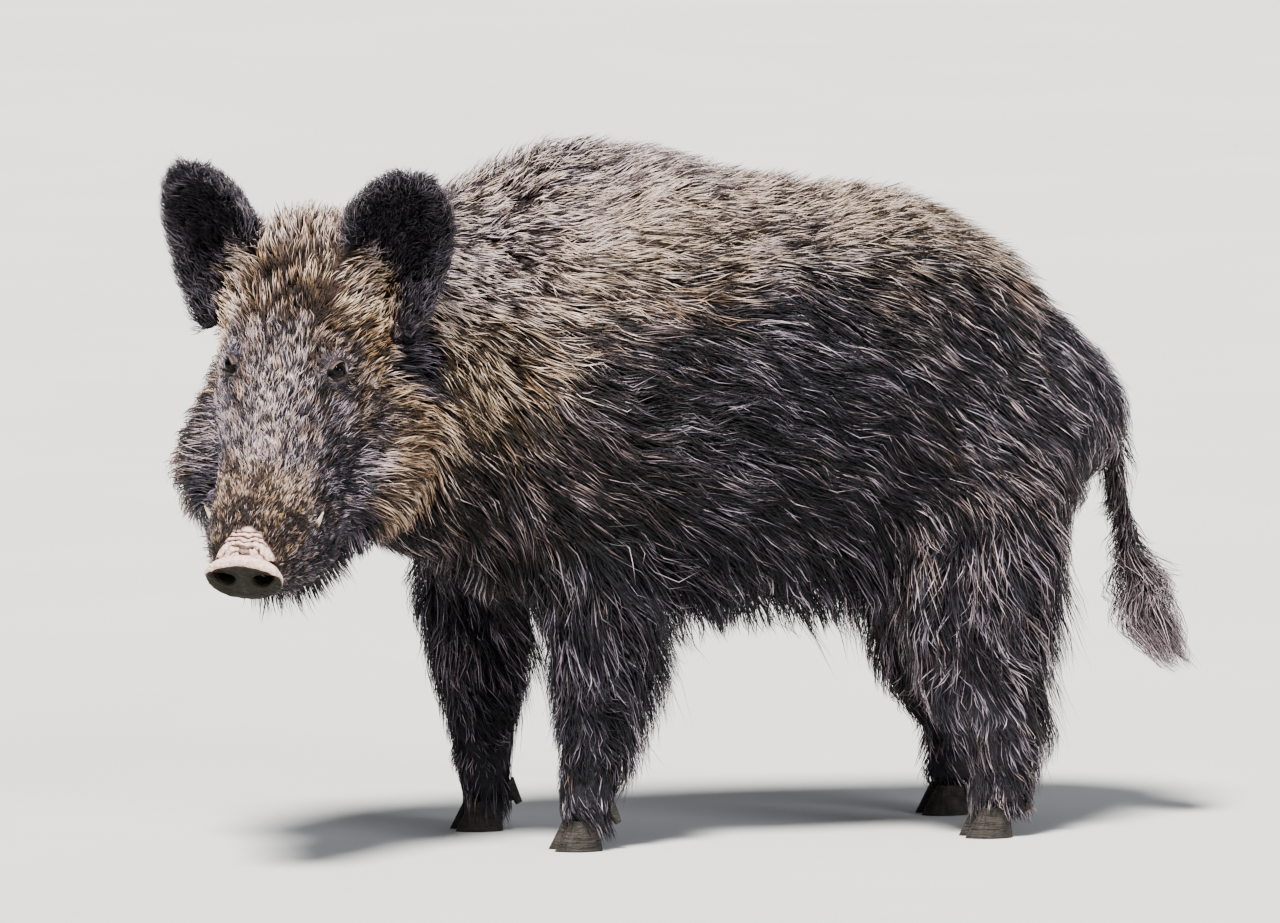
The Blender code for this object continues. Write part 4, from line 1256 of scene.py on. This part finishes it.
def bumped(tree, shader, heights):
    """Bump from several (height socket, distance) pairs, one on another."""
    normal = None
    for height, distance in heights:
        inputs = {"Height": height, "Distance": distance, "Strength": 1.0}
        if normal:
            inputs["Normal"] = normal
        normal = add(tree, "ShaderNodeBump", inputs).outputs["Normal"]
    tree.links.new(normal, shader.inputs["Normal"])


def coat_material():
    made, tree, shader = nodes_of("bristle_coat", 0.46, 0.45)
    painted(tree, shader, "coat", 260.0, 0.78, 1.2)
    rough = wandering(tree, 120.0, 0.36, 0.58)
    tree.links.new(rough, shader.inputs["Roughness"])
    return made


def skin_material():
    made, tree, shader = nodes_of("hide", 0.6, 0.25)
    painted(tree, shader, "hide", 300.0, 0.75, 1.25)
    wet = add(tree, "ShaderNodeAttribute", attribute_name="wet")
    rough = mapped(tree, wet.outputs["Fac"], (0.0, 1.0), (0.68, 0.42))
    tree.links.new(rough, shader.inputs["Roughness"])
    pores = wandering(tree, 700.0, -1.0, 1.0)
    folds = wandering(tree, 160.0, -1.0, 1.0, detail=6.0)
    bumped(tree, shader, ((folds, 0.0006), (pores, 0.0003)))
    return made


def tinted(colour, other, share):
    """Colours drawn towards others by a share for each place."""
    return blend(colour, other, share[:, None])


def paint_skin():
    """The markings on the skin, with its bare, wet and dark places, and painted light and shade on
    the snout and round the eyes.
    """
    colour = hair_colour(0.22 * TONE + 0.02, COOLNESS)
    p = SKIN_AT.head
    near = SKIN_AT.share("head", "snout")
    face = near * ease(p[:, 0], 0.12, 0.16)
    colour = tinted(colour, hair_colour(0.50 * TONE + 0.04, COOLNESS), face)
    blotch = 1 + 0.16 * noise(SKIN_POINTS, 0.006, 51)
    pink = linear(0.88, 0.755, 0.72) * blotch[:, None]
    # Dark colour in the creases between the snout's wrinkles: painted shade in the folds.
    crease = linear(0.26, 0.20, 0.18)
    bare = bare_snout(p) * near
    pink = tinted(crease, pink, ease(wrinkles(p), 0.15, 0.92))
    colour = tinted(colour, pink, bare)
    dx, y, dz = disc_frame(p)
    rho = disc_ring(y, dz)
    edge = ease(dx, -0.006, -0.001) * near * (dx > -0.03)
    over = dz - rim_edge(y)
    # Pale on the rim's lit top and dark under it: painted light and shade.
    upper = ease(dz, -0.022, -0.006)
    rim = tinted(linear(0.20, 0.18, 0.14), linear(0.90, 0.775, 0.74), upper) * blotch[:, None]
    mottle = 1 + 0.22 * noise(p, 0.004, 52) + 0.15 * noise(p, 0.010, 53)
    # The disc's own dark wet skin, darkened further and tinted olive as painted shade.
    disc = linear(0.125, 0.120, 0.065) * mottle[:, None]
    disc = tinted(disc, linear(0.26, 0.15, 0.10), 0.8 * bell(over, -0.002, 0.0025))
    colour = tinted(colour, rim, edge)
    hollow = np.minimum(nostril_ring(y, dz, 1), nostril_ring(y, dz, -1))
    wet = edge * ease(dx, 0.001, 0.004) * ease(rho, 1.03, 0.97) * ease(over, 0.0006, -0.0006)
    wet = np.maximum(wet, ease(hollow, 1.75, 1.50) * near * (dx > -0.014) * (over < 0))
    colour = tinted(colour, disc, wet)
    # Near black inside the nostrils: painted shade in the holes.
    inside = ease(hollow, 1.05, 0.75) * near * (dx > -0.014)
    colour = tinted(colour, linear(0.085, 0.07, 0.05), inside)
    lips = bell(p[:, 2], mouth_height(p[:, 0]), 0.0045) * ease(p[:, 0], 0.285, 0.31)
    lips = lips * near * (edge < 0.5)
    colour = tinted(colour, linear(0.09, 0.075, 0.075), lips)
    away = from_eyes(p)
    for side in SIDES.values():
        centre, _, along, up = eye_frame(side)
        a, b = (p - centre) @ along, (p - centre) @ up
        ring = opening(a, b)
        lid = linear(0.42, 0.37, 0.36) * blotch[:, None]
        # Near black round the opening, in the lid's fold and at the inner corner: painted shade of
        # the lids and eyeball.
        dark = np.maximum(ease(ring, 1.34, 1.16), 0.8 * bell(ring, 1.56, 0.12))
        dark = np.maximum(dark, ease(a, 0.0085, 0.0115) * ease(np.abs(b), 0.006, 0.003))
        # Lighter lilac on the lids at the outer corner: a painted reflection off the wet lid
        # margin.
        outer = ease(a, -0.0070, -0.0105) * ease(np.abs(b + 0.001), 0.009, 0.005)
        lid = tinted(lid, linear(0.62, 0.58, 0.64), 0.8 * outer)
        dark = dark * (1 - 0.7 * outer)
        lid = tinted(lid, linear(0.055, 0.045, 0.045), np.clip(dark, 0, 1))
        lids = ease(away, 0.0170, 0.0145) * near * (p[:, 1] * side > 0)
        colour = tinted(colour, lid, lids)
    wet = np.maximum(wet, 0.6 * ease(away, 0.0130, 0.0122) * near)
    wet = np.maximum(wet, 0.30 * bare)
    paint(skin.data, "hide", np.clip(colour, 0, 1))
    layer = skin.data.attributes.new("wet", "FLOAT", "POINT")
    store(layer.data, "value", wet)


paint_skin()
skin.data.materials.clear()
skin.data.materials.append(skin_material())
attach(skin, "root")
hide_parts(*FLESH)

bristles = coat_material()
for piece in COATS:
    piece.data.materials.append(bristles)
    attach(piece, "root")


# ---- eyes
def make_eye(side):
    """An eyeball with a swollen cornea, painted with pupil, iris and dark white."""
    bm = bmesh.new()
    bmesh.ops.create_uvsphere(bm, u_segments=96, v_segments=64, radius=EYE_RADIUS)
    swing = Vector((0, 0, 1)).rotation_difference(mirrored(LOOKING, side))
    mesh = mesh_from(bm, "eyeball")
    p = array_of(mesh.vertices, "co")
    off = np.arccos(np.clip(p[:, 2] / EYE_RADIUS, -1, 1))
    dome = 0.0009 * ease(off, 0.62, 0.0)
    set_points(mesh, unit(p) * (EYE_RADIUS + dome)[:, None])
    spokes = noise(np.stack([np.arctan2(p[:, 1], p[:, 0]) * 9, off * 3, off * 0], 1), 1.0, 61)
    iris = linear(0.10, 0.065, 0.050) * (1 + 0.35 * spokes)[:, None]
    white = linear(0.30, 0.27, 0.29)
    colour = tinted(iris, white, ease(off, 0.80, 0.92))
    colour = tinted(linear(0.01, 0.01, 0.012), colour, ease(off, 0.38, 0.48))
    paint(mesh, "iris", np.clip(colour, 0, 1))
    centre = Matrix.Translation(mirrored(EYE_AT, side))
    mesh.transform(HEAD @ centre @ swing.to_matrix().to_4x4())
    mesh.shade_smooth()
    return mesh


def eye_material():
    made, tree, shader = nodes_of("eye_wet", 0.10, 0.17)
    painted(tree, shader, "iris", 900.0, 0.85, 1.15)
    shader.inputs["Coat Weight"].default_value = 0.12
    shader.inputs["Coat Roughness"].default_value = 0.03
    return made


wet_eye = eye_material()
for node, side in (("eye_left", 1), ("eye_right", -1)):
    eye = object_of(node + "_wet", make_eye(side))
    eye.data.materials.append(wet_eye)
    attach(eye, "root")
    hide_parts(node)


# ---- tusks and hooves
def ivory_material():
    made, tree, shader = nodes_of("tusk_ivory", 0.32, 0.5)
    stain = wandering(tree, 90.0, 0.0, 1.0)
    ramped(tree, shader, stain, (0.66, 0.56, 0.42), (0.93, 0.90, 0.82))
    cracks = wandering(tree, 400.0, -1.0, 1.0)
    bumped(tree, shader, ((cracks, 0.0003),))
    return made


def horn_material():
    """Dark horn with growth rings round it, clouded in colour and roughness."""
    made, tree, shader = nodes_of("hoof_horn", 0.5, 0.4)
    cloud = wandering(tree, 70.0, 0.0, 1.0, detail=8.0)
    ramped(tree, shader, cloud, (0.12, 0.11, 0.105), (0.27, 0.245, 0.22))
    rough = wandering(tree, 150.0, 0.4, 0.7)
    tree.links.new(rough, shader.inputs["Roughness"])
    rings = wandering(tree, 60.0, -1.0, 1.0, stretch={"Scale": (0.5, 0.5, 6.0)})
    grain = wandering(tree, 500.0, -1.0, 1.0)
    bumped(tree, shader, ((rings, 0.0012), (grain, 0.0003)))
    return made


ivory, horn = ivory_material(), horn_material()
for name, node in NODES.items():
    if name.startswith("tusk"):
        node.material_slots[0].material = ivory
    elif name.startswith(("hoof", "dewclaw")):
        node.material_slots[0].material = horn


# ---- floor, light, camera
FLOOR_RADIUS = 60


def floor_material():
    made, tree, shader = nodes_of("studio_floor", 0.9, 0.2)
    shade = wandering(tree, 1.5, 0.56, 0.60)
    tree.links.new(grey_of(tree, shade), shader.inputs["Base Color"])
    return made


def make_floor():
    bm = bmesh.new()
    bmesh.ops.create_circle(bm, cap_ends=True, segments=96, radius=FLOOR_RADIUS)
    floor = object_of("floor", mesh_from(bm, "floor"))
    floor.data.materials.append(floor_material())


def make_light(name, towards, strength, spread, colour):
    lamp = bpy.data.lights.new(name, "SUN")
    lamp.energy, lamp.angle, lamp.color = strength, math.radians(spread), colour
    obj = object_of(name, lamp)
    obj.rotation_euler = Vector(towards).to_track_quat("-Z", "Y").to_euler()


def make_world():
    world = bpy.data.worlds.new("studio")
    world.use_nodes = True
    sky = world.node_tree.nodes["Background"]
    sky.inputs["Color"].default_value = (0.92, 0.95, 1.0, 1)
    sky.inputs["Strength"].default_value = 0.32
    bpy.context.scene.world = world


CAMERA_TURN = math.radians(15)
CAMERA_RISE = math.radians(6)
CAMERA_AWAY = 20.0
SENSOR_WIDTH = 36  # in millimetres, as the lens is
METRES_ACROSS = 1.4976  # width of the view at the animal
LOOK_AT = Vector((-0.0205, 0.1611, 0.4300))


def make_camera():
    camera = bpy.data.cameras.new("camera")
    camera.lens = SENSOR_WIDTH * CAMERA_AWAY / METRES_ACROSS
    camera.clip_end = 200
    obj = object_of("camera", camera)
    level = math.cos(CAMERA_RISE)
    across, ahead = math.sin(CAMERA_TURN) * level, math.cos(CAMERA_TURN) * level
    look = Vector((across, ahead, -math.sin(CAMERA_RISE)))
    obj.location = LOOK_AT - look * CAMERA_AWAY
    obj.rotation_euler = look.to_track_quat("-Z", "Y").to_euler()
    bpy.context.scene.camera = obj


make_floor()
make_world()
make_light("key", (0.28, 0.42, -0.9), 8.4, 14, (1.0, 0.97, 0.92))
make_light("fill", (-0.5, 0.8, -0.35), 1.4, 26, (0.92, 0.95, 1.0))
make_camera()
bpy.context.scene.view_settings.look = "AgX - Medium High Contrast"
